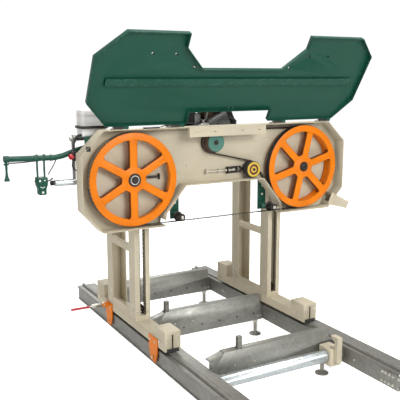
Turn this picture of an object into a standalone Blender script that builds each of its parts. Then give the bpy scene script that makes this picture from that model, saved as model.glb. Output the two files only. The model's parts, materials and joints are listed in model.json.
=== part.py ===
"""Portable band sawmill: a horizontal band saw head on a rolling carriage over a bed of two rails.

The saw centre is the point midway between the two band wheels, in the plane of the blade.
Lengths are metres: x runs along the blade, y along the rails, and z is up.
"""

import math

import bmesh
import bpy
from mathutils import Matrix, Vector

# Driving dimensions, all measured from the saw centre
FLOOR_DROP = 1.05
SAW_CENTRE = Vector((0.1369, 0.0, FLOOR_DROP))
WHEEL_SPACING = 1.07
WHEEL_RADIUS = 0.2413
GAP = 0.0003

# Band and wheels
BLADE_THICKNESS = 0.0012
BLADE_HALF_WIDTH = 0.016
TYRE_HALF_WIDTH = 0.018
TYRE_THICKNESS = 0.009
RIM_INNER_RADIUS = 0.204
HUB_RADIUS = 0.058
SPOKE_WIDTH = 0.040
AXLE_RADIUS = 0.020
DRIVE_WHEEL_TURN = math.radians(-14)

# Wheel pan
PAN_FRONT = -0.0375
PAN_BACK = 0.045
PAN_WALL = 0.004
PAN_TOP = 0.258
PAN_BOTTOM = -0.256
PAN_HALF_OUTLINE = [
    (0.700, PAN_TOP), (0.8187, 0.142), (0.8187, -0.140), (0.715, PAN_BOTTOM),
    (0.370, PAN_BOTTOM), (0.362, -0.190), (0.248, -0.050),
]

# Blade cover, drawn shut: distances below the hinge line, then opened
HINGE_Y = -0.045
HINGE_Z = 0.2685
COVER_OPEN = math.radians(150)
COVER_PLATE_Y = -0.021
COVER_RIM_Y = 0.004
COVER_SHEET = 0.003
COVER_RIGHT_OUTLINE = [
    (0.252, -0.080), (0.252, -0.012), (0.700, -0.012), (0.806, -0.134), (0.812, -0.410),
    (0.704, -0.515), (0.355, -0.515), (0.355, -0.441), (0.237, -0.324),
]
COVER_LEFT_OUTLINE = [
    (-0.252, -0.080), (-0.252, -0.012), (-0.700, -0.012), (-0.812, -0.140), (-0.812, -0.384),
    (-0.670, -0.515), (-0.355, -0.515), (-0.355, -0.441), (-0.237, -0.324),
]
HINGE_XS = (-0.630, -0.320, 0.320, 0.640)

# Belt drive
BELT_FRONT = 0.022
BELT_BACK = 0.034
BELT_THICKNESS = 0.008
SHEAVE_RADIUS = 0.222
PULLEY_AT = (-0.055, 0.168)
PULLEY_RADIUS = 0.055
IDLER_AT = (0.189, 0.006)
IDLER_RADIUS = 0.040

# Bed
RAIL_BACK = 1.05
RAIL_FRONT = -1.00
RAIL_TOP = -0.858
RAIL_BOTTOM = -0.948
RAIL_SHEET = 0.006
RIDGE_RADIUS = 0.012
LEFT_RAIL = (-0.500, -0.380)
RIGHT_RAIL = (0.365, 0.490)
BUNK_YS = {"front": -0.515, "middle": 0.130, "rear": 0.775}
BUNK_TOP = -0.795
BUNK_BOTTOM = -0.950
BUNK_DEPTH = 0.045
FOOT_X = 0.330

# Carriage masts
MAST_XS = {"left": -0.503, "right": 0.358}
MAST_WIDTH = 0.088
MAST_WALL = 0.005
MAST_FOOT = -0.7897
MAST_TOP = 0.150
FRONT_POST = (0.075, 0.155)
REAR_POST = (0.400, 0.480)
ARM_SPAN = (0.030, 0.046)
CHAIN_SPAN = (0.052, 0.060)
CHAIN_THICKNESS = 0.006
SPROCKET_RADIUS = 0.025
CHAIN_FRONT_Y = 0.115
LIFT_SHAFT_AT = (0.440, 0.182)
LOW_SPROCKET_Z = -0.738
TRACK_WHEEL_RADIUS = 0.045
TRACK_WHEEL_Z = RAIL_TOP + RIDGE_RADIUS + GAP + TRACK_WHEEL_RADIUS
TRACK_WHEEL_YS = {"front": -0.225, "rear": 0.605}

AXES = {"x": Vector((1, 0, 0)), "y": Vector((0, 1, 0)), "z": Vector((0, 0, 1))}


def clear_scene():
    for old in list(bpy.data.objects):
        bpy.data.objects.remove(old, do_unlink=True)


def material(name, colour, roughness, metallic=0.0):
    made = bpy.data.materials.new(name)
    made.use_nodes = True
    shader = made.node_tree.nodes["Principled BSDF"]
    shader.inputs["Base Color"].default_value = (*colour, 1.0)
    shader.inputs["Roughness"].default_value = roughness
    shader.inputs["Metallic"].default_value = metallic
    return made


def make_materials():
    return {
        "beige": ((0.62, 0.54, 0.40), 0.45, 0.0),
        "green": ((0.02, 0.14, 0.09), 0.35, 0.0),
        "orange": ((0.95, 0.31, 0.01), 0.35, 0.0),
        "galvanised": ((0.42, 0.43, 0.42), 0.45, 0.9),
        "rubber": ((0.02, 0.02, 0.02), 0.80, 0.0),
        "blade_steel": ((0.55, 0.56, 0.57), 0.30, 1.0),
        "dark_steel": ((0.07, 0.07, 0.07), 0.50, 0.8),
        "engine_black": ((0.03, 0.03, 0.03), 0.40, 0.0),
        "yellow": ((0.80, 0.55, 0.03), 0.40, 0.0),
        "tank_plastic": ((0.85, 0.84, 0.82), 0.40, 0.0),
        "red": ((0.60, 0.02, 0.03), 0.40, 0.0),
    }


def link(name, shape, parent):
    """A new object holding the bmesh, hung on its parent."""
    bmesh.ops.recalc_face_normals(shape, faces=shape.faces)
    mesh = bpy.data.meshes.new(name)
    shape.to_mesh(mesh)
    shape.free()
    made = bpy.data.objects.new(name, mesh)
    bpy.context.scene.collection.objects.link(made)
    made.parent = parent
    return made


class Shop:
    """Makes the named parts and the tools that cut them, all hung on one empty."""

    def __init__(self):
        self.centre = bpy.data.objects.new("saw_centre", None)
        bpy.context.scene.collection.objects.link(self.centre)
        self.centre.location = SAW_CENTRE
        self.materials = {}
        for name, values in make_materials().items():
            self.materials[name] = material(name, *values)

    def part(self, name, shape, finish, smooth=False, origin=None):
        """A part; its shape is drawn about origin, which is a point from the saw centre."""
        made = link(name, shape, self.centre)
        made.data.materials.append(self.materials[finish])
        if origin is not None:
            made.location = origin
        if smooth:
            made.data.shade_smooth()
            made.data.set_sharp_from_angle(angle=math.radians(35))
        return made

    def combine(self, part, operation, *shapes):
        """Joins or cuts the part with shapes drawn about its own origin, which turn with it."""
        for shape in shapes:
            tool = link("tool", shape, part)
            tool.hide_render = True
            tool.display_type = "WIRE"
            change = part.modifiers.new(operation.lower(), "BOOLEAN")
            change.operation = operation
            change.solver = "EXACT"
            change.object = tool
        return part


def merged(*shapes):
    """One bmesh with all the shapes, which don't touch each other."""
    whole = bmesh.new()
    for shape in shapes:
        part = bpy.data.meshes.new("piece")
        shape.to_mesh(part)
        shape.free()
        whole.from_mesh(part)
        bpy.data.meshes.remove(part)
    return whole


def box(low, high):
    shape = bmesh.new()
    bmesh.ops.create_cube(shape, size=1.0)
    low = Vector(low)
    high = Vector(high)
    bmesh.ops.scale(shape, vec=high - low, verts=shape.verts)
    bmesh.ops.translate(shape, vec=(low + high) / 2, verts=shape.verts)
    return shape


def placed(axis, along, a, b):
    """The point with that distance along the axis, and a and b on the other two, in x, y, z order."""
    if axis == "x":
        return Vector((along, a, b))
    if axis == "y":
        return Vector((a, along, b))
    return Vector((a, b, along))


def prism(outline, axis, start, end):
    """The outline's polygon, extruded along the axis from start to end."""
    shape = bmesh.new()
    corners = [shape.verts.new(placed(axis, start, a, b)) for a, b in outline]
    face = shape.faces.new(corners)
    grown = bmesh.ops.extrude_face_region(shape, geom=[face])
    moved = [v for v in grown["geom"] if isinstance(v, bmesh.types.BMVert)]
    bmesh.ops.translate(shape, vec=AXES[axis] * (end - start), verts=moved)
    bmesh.ops.recalc_face_normals(shape, faces=shape.faces)
    return shape


def circle(radius, centre=(0.0, 0.0), count=24):
    points = []
    for i in range(count):
        turn = math.tau * i / count
        points.append((centre[0] + radius * math.cos(turn), centre[1] + radius * math.sin(turn)))
    return points


def rod(radius, axis, start, end, centre=(0.0, 0.0), count=16):
    return prism(circle(radius, centre, count), axis, start, end)


def turned(profile, axis, centre=(0.0, 0.0), count=32):
    """A closed profile of (radius, distance along the axis), turned about the axis through centre."""
    shape = bmesh.new()
    rings = []
    for i in range(count):
        turn = math.tau * i / count
        ring = []
        for radius, along in profile:
            a = centre[0] + radius * math.cos(turn)
            b = centre[1] + radius * math.sin(turn)
            ring.append(shape.verts.new(placed(axis, along, a, b)))
        rings.append(ring)
    for i, ring in enumerate(rings):
        after = rings[(i + 1) % count]
        for j in range(len(profile)):
            k = (j + 1) % len(profile)
            shape.faces.new((ring[j], ring[k], after[k], after[j]))
    bmesh.ops.recalc_face_normals(shape, faces=shape.faces)
    return shape


def spun(profile, axis, centre=(0.0, 0.0), count=32):
    """A solid of revolution, whose profile starts and ends on the axis."""
    shape = turned(profile, axis, centre, count)
    bmesh.ops.remove_doubles(shape, verts=shape.verts, dist=0.00001)
    return shape


def sleeve(inner, outer, axis, start, end, centre=(0.0, 0.0), count=32):
    profile = [(inner, start), (outer, start), (outer, end), (inner, end)]
    return turned(profile, axis, centre, count)


def inset(outline, distance):
    """The outline, given anticlockwise, with every side moved inward by the distance."""
    points = [Vector(p) for p in outline]
    moved = []
    for i, here in enumerate(points):
        before = (here - points[i - 1]).normalized()
        after = (points[(i + 1) % len(points)] - here).normalized()
        side_a = Vector((-before.y, before.x))
        side_b = Vector((-after.y, after.x))
        lean = (side_a + side_b).normalized()
        moved.append(tuple(here + lean * distance / lean.dot(side_a)))
    return moved


def mirrored(half):
    """A closed anticlockwise outline from its right half, given clockwise from the top."""
    right = list(reversed(half))
    left = [(-a, b) for a, b in half]
    return right + left


def bent_strip(path, thickness, axis, start, end):
    """A closed band of that thickness, laid outside the closed path of (a, b) points."""
    outer = inset(path, -thickness)
    shape = bmesh.new()
    rings = []
    for along in (start, end):
        for line in (path, outer):
            rings.append([shape.verts.new(placed(axis, along, a, b)) for a, b in line])
    near_in, near_out, far_in, far_out = rings
    for i in range(len(path)):
        j = (i + 1) % len(path)
        for first, second in ((near_in, near_out), (near_out, far_out), (far_out, far_in), (far_in, near_in)):
            shape.faces.new((first[i], first[j], second[j], second[i]))
    bmesh.ops.recalc_face_normals(shape, faces=shape.faces)
    return shape


def tangent_turns(first, second):
    """The angles at which a straight run leaves the first pulley and meets the second.

    A pulley is (a, b, radius, side): side 1 has the belt anticlockwise round it, -1 clockwise.
    """
    apart = Vector((second[0] - first[0], second[1] - first[1]))
    heading = math.atan2(apart.y, apart.x)
    offset = first[2] * first[3] - second[2] * second[3]
    lean = math.asin(offset / apart.length)
    run = heading + lean
    leave = run - first[3] * math.pi / 2
    meet = run - second[3] * math.pi / 2
    return leave, meet


def belt_path(pulleys, step):
    """The inner line of a belt round the pulleys, in chords that stay outside each of them."""
    points = []
    count = len(pulleys)
    for i, pulley in enumerate(pulleys):
        start = tangent_turns(pulleys[i - 1], pulley)[1]
        end = tangent_turns(pulley, pulleys[(i + 1) % count])[0]
        sweep = (end - start) * pulley[3] % math.tau
        pieces = max(1, round(sweep / step))
        reach = pulley[2] / math.cos(sweep / pieces / 2)
        for j in range(pieces + 1):
            turn = start + pulley[3] * sweep * j / pieces
            points.append((pulley[0] + reach * math.cos(turn), pulley[1] + reach * math.sin(turn)))
    return points


def tray(outline, wall, axis, plate, inside, rim):
    """A sheet tray: plate, its inner face and rim are distances along the axis."""
    inner = inset(outline, wall)
    shape = bmesh.new()
    back = [shape.verts.new(placed(axis, plate, a, b)) for a, b in outline]
    lip = [shape.verts.new(placed(axis, rim, a, b)) for a, b in outline]
    lip_in = [shape.verts.new(placed(axis, rim, a, b)) for a, b in inner]
    floor = [shape.verts.new(placed(axis, inside, a, b)) for a, b in inner]
    shape.faces.new(back)
    shape.faces.new(floor)
    for i in range(len(outline)):
        j = (i + 1) % len(outline)
        for first, second in ((back, lip), (lip, lip_in), (lip_in, floor)):
            shape.faces.new((first[i], first[j], second[j], second[i]))
    bmesh.ops.recalc_face_normals(shape, faces=shape.faces)
    return shape


def pipe(points, radius, sides=12):
    """A round bar along the points, with flat ends."""
    route = [Vector(p) for p in points]
    shape = bmesh.new()
    rings = []
    across = Vector((0, 1, 0))
    for i, here in enumerate(route):
        before = route[max(i - 1, 0)]
        after = route[min(i + 1, len(route) - 1)]
        along = (after - before).normalized()
        up = along.cross(across).normalized()
        across = up.cross(along).normalized()
        ring = []
        for k in range(sides):
            turn = math.tau * k / sides
            ring.append(shape.verts.new(here + (across * math.cos(turn) + up * math.sin(turn)) * radius))
        rings.append(ring)
    for first, second in zip(rings, rings[1:]):
        for k in range(sides):
            m = (k + 1) % sides
            shape.faces.new((first[k], first[m], second[m], second[k]))
    shape.faces.new(rings[0])
    shape.faces.new(rings[-1])
    bmesh.ops.recalc_face_normals(shape, faces=shape.faces)
    return shape


def turned_about(shape, axis, angle, centre=(0, 0, 0)):
    turn = Matrix.Rotation(angle, 3, AXES[axis])
    bmesh.ops.rotate(shape, cent=Vector(centre), matrix=turn, verts=shape.verts)
    return shape


# Bed


def channel_outline(web, lip, bottom, top, sheet):
    """A C section: its web stands at web, and its two flanges reach to lip."""
    inner = web + sheet if lip > web else web - sheet
    return [
        (web, bottom), (lip, bottom), (lip, bottom + sheet), (inner, bottom + sheet),
        (inner, top - sheet), (lip, top - sheet), (lip, top), (web, top),
    ]


def make_rail(shop, name, web, lip, ridge):
    """A C rail, open outward, with a half-round track bar on its top flange."""
    outline = channel_outline(web, lip, RAIL_BOTTOM, RAIL_TOP, RAIL_SHEET)
    rail = shop.part(name, prism(outline, "y", RAIL_FRONT, RAIL_BACK), "galvanised")
    bar = rod(RIDGE_RADIUS, "y", RAIL_FRONT + 0.001, RAIL_BACK - 0.001, (ridge, RAIL_TOP))
    return shop.combine(rail, "UNION", bar)


def make_bunk(shop, name, face_y, rest_x=None):
    """A deep C channel on two screw feet, sloped at one end; a log rest rises through a square hole."""
    outline = channel_outline(face_y, face_y + BUNK_DEPTH, BUNK_BOTTOM, BUNK_TOP, RAIL_SHEET)
    body = prism(outline, "x", LEFT_RAIL[1] + GAP, RIGHT_RAIL[0] - GAP)
    bunk = shop.part(name, body, "galvanised")
    for x in (-FOOT_X, FOOT_X):
        profile = [
            (0.0, -FLOOR_DROP), (0.036, -FLOOR_DROP), (0.036, -FLOOR_DROP + 0.006),
            (0.010, -FLOOR_DROP + 0.012), (0.010, BUNK_BOTTOM + 0.016), (0.0, BUNK_BOTTOM + 0.016),
        ]
        shop.combine(bunk, "UNION", spun(profile, "z", (x, face_y + 0.026), 16))
    low_end = [(-0.400, -0.880), (-0.345, -0.862), (-0.285, -0.780), (-0.400, -0.780)]
    shop.combine(bunk, "DIFFERENCE", prism(low_end, "y", face_y - 0.01, face_y + BUNK_DEPTH + 0.01))
    notch = box((0.347, face_y - 0.01, -0.852), (0.380, face_y + BUNK_DEPTH + 0.01, -0.780))
    shop.combine(bunk, "DIFFERENCE", notch)
    if rest_x is not None:
        low = (rest_x - 0.0138, face_y + 0.0092, BUNK_TOP - 0.02)
        high = (rest_x + 0.0138, face_y + 0.0368, BUNK_TOP + 0.02)
        shop.combine(bunk, "DIFFERENCE", box(low, high))
        low = (rest_x - 0.0138, face_y + 0.0092, BUNK_BOTTOM - 0.01)
        high = (rest_x + 0.0138, face_y + 0.0368, BUNK_BOTTOM + 0.02)
        shop.combine(bunk, "DIFFERENCE", box(low, high))
    return bunk


def make_log_rest(shop, name, face_y, rest_x):
    low = (rest_x - 0.0125, face_y + 0.0105, -0.925)
    high = (rest_x + 0.0125, face_y + 0.0355, -0.735)
    return shop.part(name, box(low, high), "galvanised")


def make_splice(shop, name, web, side):
    """A plate bolted on a rail's web, half of it ahead of the rail for the next bed section."""
    near = web + side * GAP
    far = web + side * 0.006
    low = (min(near, far), RAIL_FRONT - 0.05, RAIL_BOTTOM + 0.010)
    high = (max(near, far), RAIL_FRONT + 0.11, RAIL_TOP - 0.012)
    return shop.part(name, box(low, high), "galvanised")


def make_clamp(shop):
    """The log clamp: a block that slides on a round cross tube, with a dog that rises from it."""
    tube_at = (-0.580, -0.905)
    tube = sleeve(0.029, 0.033, "x", LEFT_RAIL[1] + GAP, RIGHT_RAIL[0] - GAP, tube_at, 24)
    shop.part("clamp_tube", tube, "galvanised", smooth=True)
    block = shop.part("clamp_block", box((0.270, -0.628, -0.950), (0.340, -0.534, -0.858)), "beige")
    shop.combine(block, "DIFFERENCE", rod(0.0338, "x", 0.2, 0.4, tube_at, 24))
    dog = [
        (-0.655, -0.925), (-0.6285, -0.925), (-0.6285, -0.815), (-0.600, -0.800), (-0.600, -0.790),
        (-0.655, -0.790),
    ]
    shop.part("clamp_dog", prism(dog, "x", 0.290, 0.320), "dark_steel")


def make_bed(shop):
    make_rail(shop, "left_rail", LEFT_RAIL[1], LEFT_RAIL[0], MAST_XS["left"] + MAST_WIDTH / 2)
    make_rail(shop, "right_rail", RIGHT_RAIL[0], RIGHT_RAIL[1], MAST_XS["right"] + MAST_WIDTH / 2)
    make_bunk(shop, "rear_bunk", BUNK_YS["rear"])
    make_bunk(shop, "middle_bunk", BUNK_YS["middle"], -0.280)
    make_bunk(shop, "front_bunk", BUNK_YS["front"], -0.200)
    make_log_rest(shop, "log_rest_middle", BUNK_YS["middle"], -0.280)
    make_log_rest(shop, "log_rest_front", BUNK_YS["front"], -0.200)
    make_splice(shop, "left_splice_plate", LEFT_RAIL[1], 1)
    make_splice(shop, "right_splice_plate", RIGHT_RAIL[0], -1)
    make_clamp(shop)


# Carriage


def make_base(shop, side):
    """The foot of a mast: an inverted trough with a raised wheel box at each end."""
    left = MAST_XS[side]
    right = left + MAST_WIDTH
    bottom = -0.838
    profile = [
        (-0.285, bottom), (0.665, bottom), (0.665, -0.715), (0.545, -0.715),
        (0.545, MAST_FOOT - GAP), (-0.165, MAST_FOOT - GAP), (-0.165, -0.735), (-0.285, -0.735),
    ]
    base = shop.part(side + "_base", prism(profile, "x", left, right), "beige")
    hollow = [
        (-0.279, bottom - 0.02), (0.659, bottom - 0.02), (0.659, -0.721), (0.551, -0.721),
        (0.551, MAST_FOOT - 0.005), (-0.171, MAST_FOOT - 0.005), (-0.171, -0.741), (-0.279, -0.741),
    ]
    shop.combine(base, "DIFFERENCE", prism(hollow, "x", left + MAST_WALL, right - MAST_WALL))
    slit = box((left + 0.040, -0.30, -0.85), (left + 0.048, -0.27, -0.752))
    shop.combine(base, "DIFFERENCE", slit)
    curb_low = (left, FRONT_POST[1] + GAP, MAST_FOOT - 0.002)
    curb_high = (left + MAST_WALL, REAR_POST[0] - GAP, -0.742)
    axles = []
    for y in TRACK_WHEEL_YS.values():
        axles.append(rod(0.010, "x", left + 0.002, right - 0.002, (y, TRACK_WHEEL_Z)))
    return shop.combine(base, "UNION", box(curb_low, curb_high), *axles)


def make_track_wheel(shop, side, end):
    """A wheel that runs on the rail's track bar."""
    middle = MAST_XS[side] + MAST_WIDTH / 2
    profile = [
        (0.0105, -0.020), (0.020, -0.020), (0.024, -0.017), (TRACK_WHEEL_RADIUS - 0.002, -0.017),
        (TRACK_WHEEL_RADIUS, -0.015), (TRACK_WHEEL_RADIUS, 0.015), (TRACK_WHEEL_RADIUS - 0.002, 0.017),
        (0.024, 0.017), (0.020, 0.020), (0.0105, 0.020),
    ]
    origin = Vector((middle, TRACK_WHEEL_YS[end], TRACK_WHEEL_Z))
    name = f"{side}_{end}_track_wheel"
    return shop.part(name, turned(profile, "x", (0, 0), 24), "dark_steel", True, origin)


def make_front_post(shop, side):
    """A C post, open to the rear, slotted in front for the head's arm; it holds the low sprocket's axle."""
    left = MAST_XS[side]
    right = left + MAST_WIDTH
    y_front, y_back = FRONT_POST
    outline = [
        (left, y_front), (right, y_front), (right, y_back), (right - MAST_WALL, y_back),
        (right - MAST_WALL, y_front + MAST_WALL), (left + MAST_WALL, y_front + MAST_WALL),
        (left + MAST_WALL, y_back), (left, y_back),
    ]
    post = shop.part(side + "_front_post", prism(outline, "z", MAST_FOOT, MAST_TOP), "beige")
    slot = box((left + 0.028, y_front - 0.01, -0.765), (left + 0.064, y_front + 0.01, 0.125))
    shop.combine(post, "DIFFERENCE", slot)
    axle = rod(0.006, "x", left + 0.002, right - 0.002, (CHAIN_FRONT_Y, LOW_SPROCKET_Z))
    shoe = rod(0.0245, "x", left + CHAIN_SPAN[0], right - 0.002, (CHAIN_FRONT_Y, LIFT_SHAFT_AT[1]), 20)
    ear = box((right - MAST_WALL, 0.100, MAST_TOP - 0.01), (right, 0.130, LIFT_SHAFT_AT[1] + 0.01))
    return shop.combine(post, "UNION", axle, ear, shoe)


def make_rear_post(shop, side):
    """A C post, open to the front, with a brace to the front post and two ears for the lift shaft."""
    left = MAST_XS[side]
    right = left + MAST_WIDTH
    y_front, y_back = REAR_POST
    outline = [
        (left, y_front), (left + MAST_WALL, y_front), (left + MAST_WALL, y_back - MAST_WALL),
        (right - MAST_WALL, y_back - MAST_WALL), (right - MAST_WALL, y_front), (right, y_front),
        (right, y_back), (left, y_back),
    ]
    post = shop.part(side + "_rear_post", prism(outline, "z", MAST_FOOT, MAST_TOP), "beige")
    ear_front = LIFT_SHAFT_AT[0] - 0.018
    ear_back = LIFT_SHAFT_AT[0] + 0.018
    ears = []
    for x in (left, right - MAST_WALL):
        ears.append(box((x, ear_front, MAST_TOP - 0.01), (x + MAST_WALL, ear_back, LIFT_SHAFT_AT[1] + 0.02)))
    brace = box((left, FRONT_POST[1] + GAP, -0.418), (left + 0.025, y_front + 0.004, -0.382))
    shop.combine(post, "UNION", brace, *ears)
    bore = rod(0.0125, "x", left - 0.02, right + 0.02, LIFT_SHAFT_AT, 20)
    return shop.combine(post, "DIFFERENCE", bore)


def make_cross_beam(shop):
    inner_left = MAST_XS["left"] + MAST_WIDTH + GAP
    inner_right = MAST_XS["right"] - GAP
    beam = sleeve(0.025, 0.025 + 0.004, "x", inner_left, inner_right, (0.445, 0.070), 4)
    turned_about(beam, "x", math.pi / 4, (0, 0.445, 0.070))
    shop.part("mast_cross_beam", beam, "beige")


def make_rail_hook(shop, end, y, drop):
    """A tapered plate bolted down the left base's outer side, with an eye below the rail's flange."""
    face = MAST_XS["left"] - GAP
    outline = [(face, -0.796), (face - 0.006, -0.796), (face - 0.006, drop), (face, drop)]
    hook = shop.part(end + "_rail_hook", prism(outline, "y", y - 0.050, y + 0.050), "orange")
    for side in (-1, 1):
        wedge = [(y + side * 0.052, -0.860), (y + side * 0.025, drop - 0.01), (y + side * 0.070, drop - 0.01)]
        shop.combine(hook, "DIFFERENCE", prism(wedge, "x", face - 0.02, face + 0.02))
    eye = rod(0.009, "x", face - 0.02, face + 0.01, (y, drop + 0.022), 14)
    return shop.combine(hook, "DIFFERENCE", eye)


def make_rail_lock(shop, hook):
    """The lever that clamps the carriage on its rail, hung on a pin that the rear hook holds."""
    x, z = -0.540, -0.806
    y = 0.460
    ear = box((x - 0.010, y - 0.012, z - 0.012), (MAST_XS["left"] - GAP - 0.004, y - 0.005, z + 0.012))
    shop.combine(hook, "UNION", ear, rod(0.006, "y", y - 0.010, y + 0.010, (x, z), 12))
    eye = sleeve(0.0065, 0.013, "y", -0.0045, 0.0095, count=20)
    lever = shop.part("rail_lock", eye, "red", True, Vector((x, y, z)))
    arm = spun([
        (0.0, -0.0100), (0.0055, -0.0100), (0.0055, -0.110), (0.012, -0.114), (0.014, -0.160),
        (0.012, -0.215), (0.0, -0.220),
    ], "x", (0.0025, 0.0), 14)
    return shop.combine(lever, "UNION", arm)


def chain_pulleys():
    """The chain's corners: lift shaft, front shoe, low sprocket and the inner turn under the shoe."""
    y_back, z_top = LIFT_SHAFT_AT
    radius = SPROCKET_RADIUS + GAP
    turn_radius = 0.012
    inner = (CHAIN_FRONT_Y + radius + turn_radius, z_top - radius - turn_radius)
    return [
        (y_back, z_top, radius, 1), (CHAIN_FRONT_Y, z_top, radius, 1),
        (CHAIN_FRONT_Y, LOW_SPROCKET_Z, radius, 1), (*inner, turn_radius + CHAIN_THICKNESS, -1),
    ]


def make_chain(shop, side):
    path = belt_path(chain_pulleys(), math.radians(22))
    left = MAST_XS[side]
    loop = bent_strip(path, CHAIN_THICKNESS, "x", left + CHAIN_SPAN[0], left + CHAIN_SPAN[1])
    return shop.part(side + "_lift_chain", loop, "dark_steel")


def make_lift(shop):
    """The cross shaft with a sprocket over each rear post, its crank, and the low sprockets."""
    y, z = LIFT_SHAFT_AT
    origin = Vector((0, y, z))
    shaft = shop.part("lift_shaft", rod(0.012, "x", -0.712, 0.455, count=20), "dark_steel", True, origin)
    for left in MAST_XS.values():
        start = left + CHAIN_SPAN[0]
        end = left + CHAIN_SPAN[1]
        shop.combine(shaft, "UNION", rod(SPROCKET_RADIUS, "x", start, end, count=20))
    arm = box((-0.704, -0.0165, -0.253), (-0.694, 0.0165, 0.022))
    crank = shop.part("lift_crank", arm, "galvanised", False, origin)
    shop.combine(crank, "DIFFERENCE", rod(0.0124, "x", -0.8, -0.6, count=20))
    shop.combine(crank, "UNION", rod(0.013, "x", -0.835, -0.700, (0.0, -0.237), 14))
    for side, left in MAST_XS.items():
        hub = sleeve(0.0065, SPROCKET_RADIUS, "x", CHAIN_SPAN[0], CHAIN_SPAN[1], count=20)
        at = Vector((left, CHAIN_FRONT_Y, LOW_SPROCKET_Z))
        shop.part(side + "_chain_sprocket", hub, "dark_steel", True, at)


def make_carriage(shop):
    for side in MAST_XS:
        make_base(shop, side)
        make_front_post(shop, side)
        make_rear_post(shop, side)
        make_chain(shop, side)
        for end in TRACK_WHEEL_YS:
            make_track_wheel(shop, side, end)
    make_cross_beam(shop)
    make_rail_hook(shop, "front", -0.155, -0.930)
    rear_hook = make_rail_hook(shop, "rear", 0.460, -0.930)
    make_rail_lock(shop, rear_hook)
    make_lift(shop)


# Saw head


def make_pan(shop):
    """The sheet pan that carries both wheels, cut for the blade, shafts, tensioner and sawdust."""
    outline = mirrored(PAN_HALF_OUTLINE)
    pan = tray(outline, PAN_WALL, "y", PAN_BACK, PAN_BACK - PAN_WALL, PAN_FRONT)
    pan = shop.part("head_pan", pan, "beige")
    half = WHEEL_SPACING / 2
    cuts = [
        rod(0.026, "y", 0.0, 0.1, (half, 0.0), 20),
        box((-half - 0.045, 0.0, -0.026), (-half + 0.045, 0.1, 0.026)),
        rod(0.030, "y", 0.0, 0.1, PULLEY_AT, 20),
        box((IDLER_AT[0] - 0.045, 0.0, IDLER_AT[1] - 0.009), (IDLER_AT[0] + 0.012, 0.1, IDLER_AT[1] + 0.009)),
    ]
    for x in (-0.370, 0.370):
        cuts.append(box((x - 0.016, -0.05, -0.2485), (x + 0.016, 0.028, -0.222)))
    return shop.combine(pan, "DIFFERENCE", *cuts)


def make_front_beam(shop):
    outline = channel_outline(-0.062, PAN_FRONT - GAP, 0.206, PAN_TOP, 0.003)
    return shop.part("front_beam", prism(outline, "x", -0.238, 0.238), "beige")


def add_chute(shop, pan):
    """A short sloping duct at the pan's lower right corner, for the sawdust."""
    outer = [(0.752, -0.170), (0.880, -0.236), (0.862, -0.276), (0.720, -0.240)]
    bore = [(0.735, -0.178), (0.905, -0.2485), (0.885, -0.268), (0.725, -0.222)]
    shop.combine(pan, "UNION", prism(outer, "y", -0.028, 0.036))
    shop.combine(pan, "DIFFERENCE", prism(bore, "y", -0.024, 0.032))


def add_hinge_leaves(shop, pan):
    """The fixed halves of the cover's hinges: each a leaf on the pan's top, with the pin."""
    for x in HINGE_XS:
        outline = [
            (-0.008, PAN_TOP - 0.001), (-0.008, PAN_TOP + 0.003), (HINGE_Y + 0.013, PAN_TOP + 0.003),
            (HINGE_Y + 0.0075, HINGE_Z), (HINGE_Y, HINGE_Z + 0.0075), (HINGE_Y - 0.0075, HINGE_Z),
            (HINGE_Y - 0.0060, HINGE_Z - 0.007), (-0.0365, PAN_TOP - 0.001),
        ]
        knuckle = prism(outline, "x", x - 0.027, x + 0.027)
        pin = rod(0.003, "x", x + 0.020, x + 0.058, (HINGE_Y, HINGE_Z), 10)
        shop.combine(pan, "UNION", knuckle, pin)


def wheel_shapes(front, back):
    """The hub and three bars that cross it, which make six spokes."""
    hub = rod(HUB_RADIUS, "y", front - 0.002, back + 0.002, count=24)
    bars = []
    for i in range(3):
        reach = RIM_INNER_RADIUS + 0.006
        bar = box((-SPOKE_WIDTH / 2, front + 0.008, -reach), (SPOKE_WIDTH / 2, back - 0.008, reach))
        bars.append(turned_about(bar, "y", i * math.pi / 3))
    return hub, bars


def make_band_wheel(shop, name, tyre_name, x, angle, shaft_end=None):
    """A six-spoke cast wheel and the rubber tyre on its rim."""
    origin = Vector((x, 0, 0))
    rim_radius = WHEEL_RADIUS - GAP - TYRE_THICKNESS - GAP
    rim = sleeve(RIM_INNER_RADIUS, rim_radius, "y", -TYRE_HALF_WIDTH, TYRE_HALF_WIDTH, count=48)
    wheel = shop.part(name, rim, "orange", True, origin)
    hub, bars = wheel_shapes(-TYRE_HALF_WIDTH, TYRE_HALF_WIDTH)
    shop.combine(wheel, "UNION", hub, *bars)
    if shaft_end is None:
        shop.combine(wheel, "DIFFERENCE", rod(AXLE_RADIUS + 0.0005, "y", -0.05, 0.05))
    else:
        sheave = sleeve(0.196, SHEAVE_RADIUS, "y", 0.012, 0.036, count=48)
        shop.combine(wheel, "UNION", sheave, rod(AXLE_RADIUS, "y", -0.030, shaft_end))
    wheel.rotation_euler.y = -angle
    tyre = sleeve(rim_radius + GAP, WHEEL_RADIUS - GAP, "y", -TYRE_HALF_WIDTH, TYRE_HALF_WIDTH, count=48)
    return shop.part(tyre_name, tyre, "rubber", True, origin)


def make_blade(shop):
    half = WHEEL_SPACING / 2
    wheels = [(half, 0.0, WHEEL_RADIUS, 1), (-half, 0.0, WHEEL_RADIUS, 1)]
    path = belt_path(wheels, math.radians(7.5))
    band = bent_strip(path, BLADE_THICKNESS, "y", -BLADE_HALF_WIDTH, BLADE_HALF_WIDTH)
    return shop.part("saw_blade", band, "blade_steel")


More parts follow.
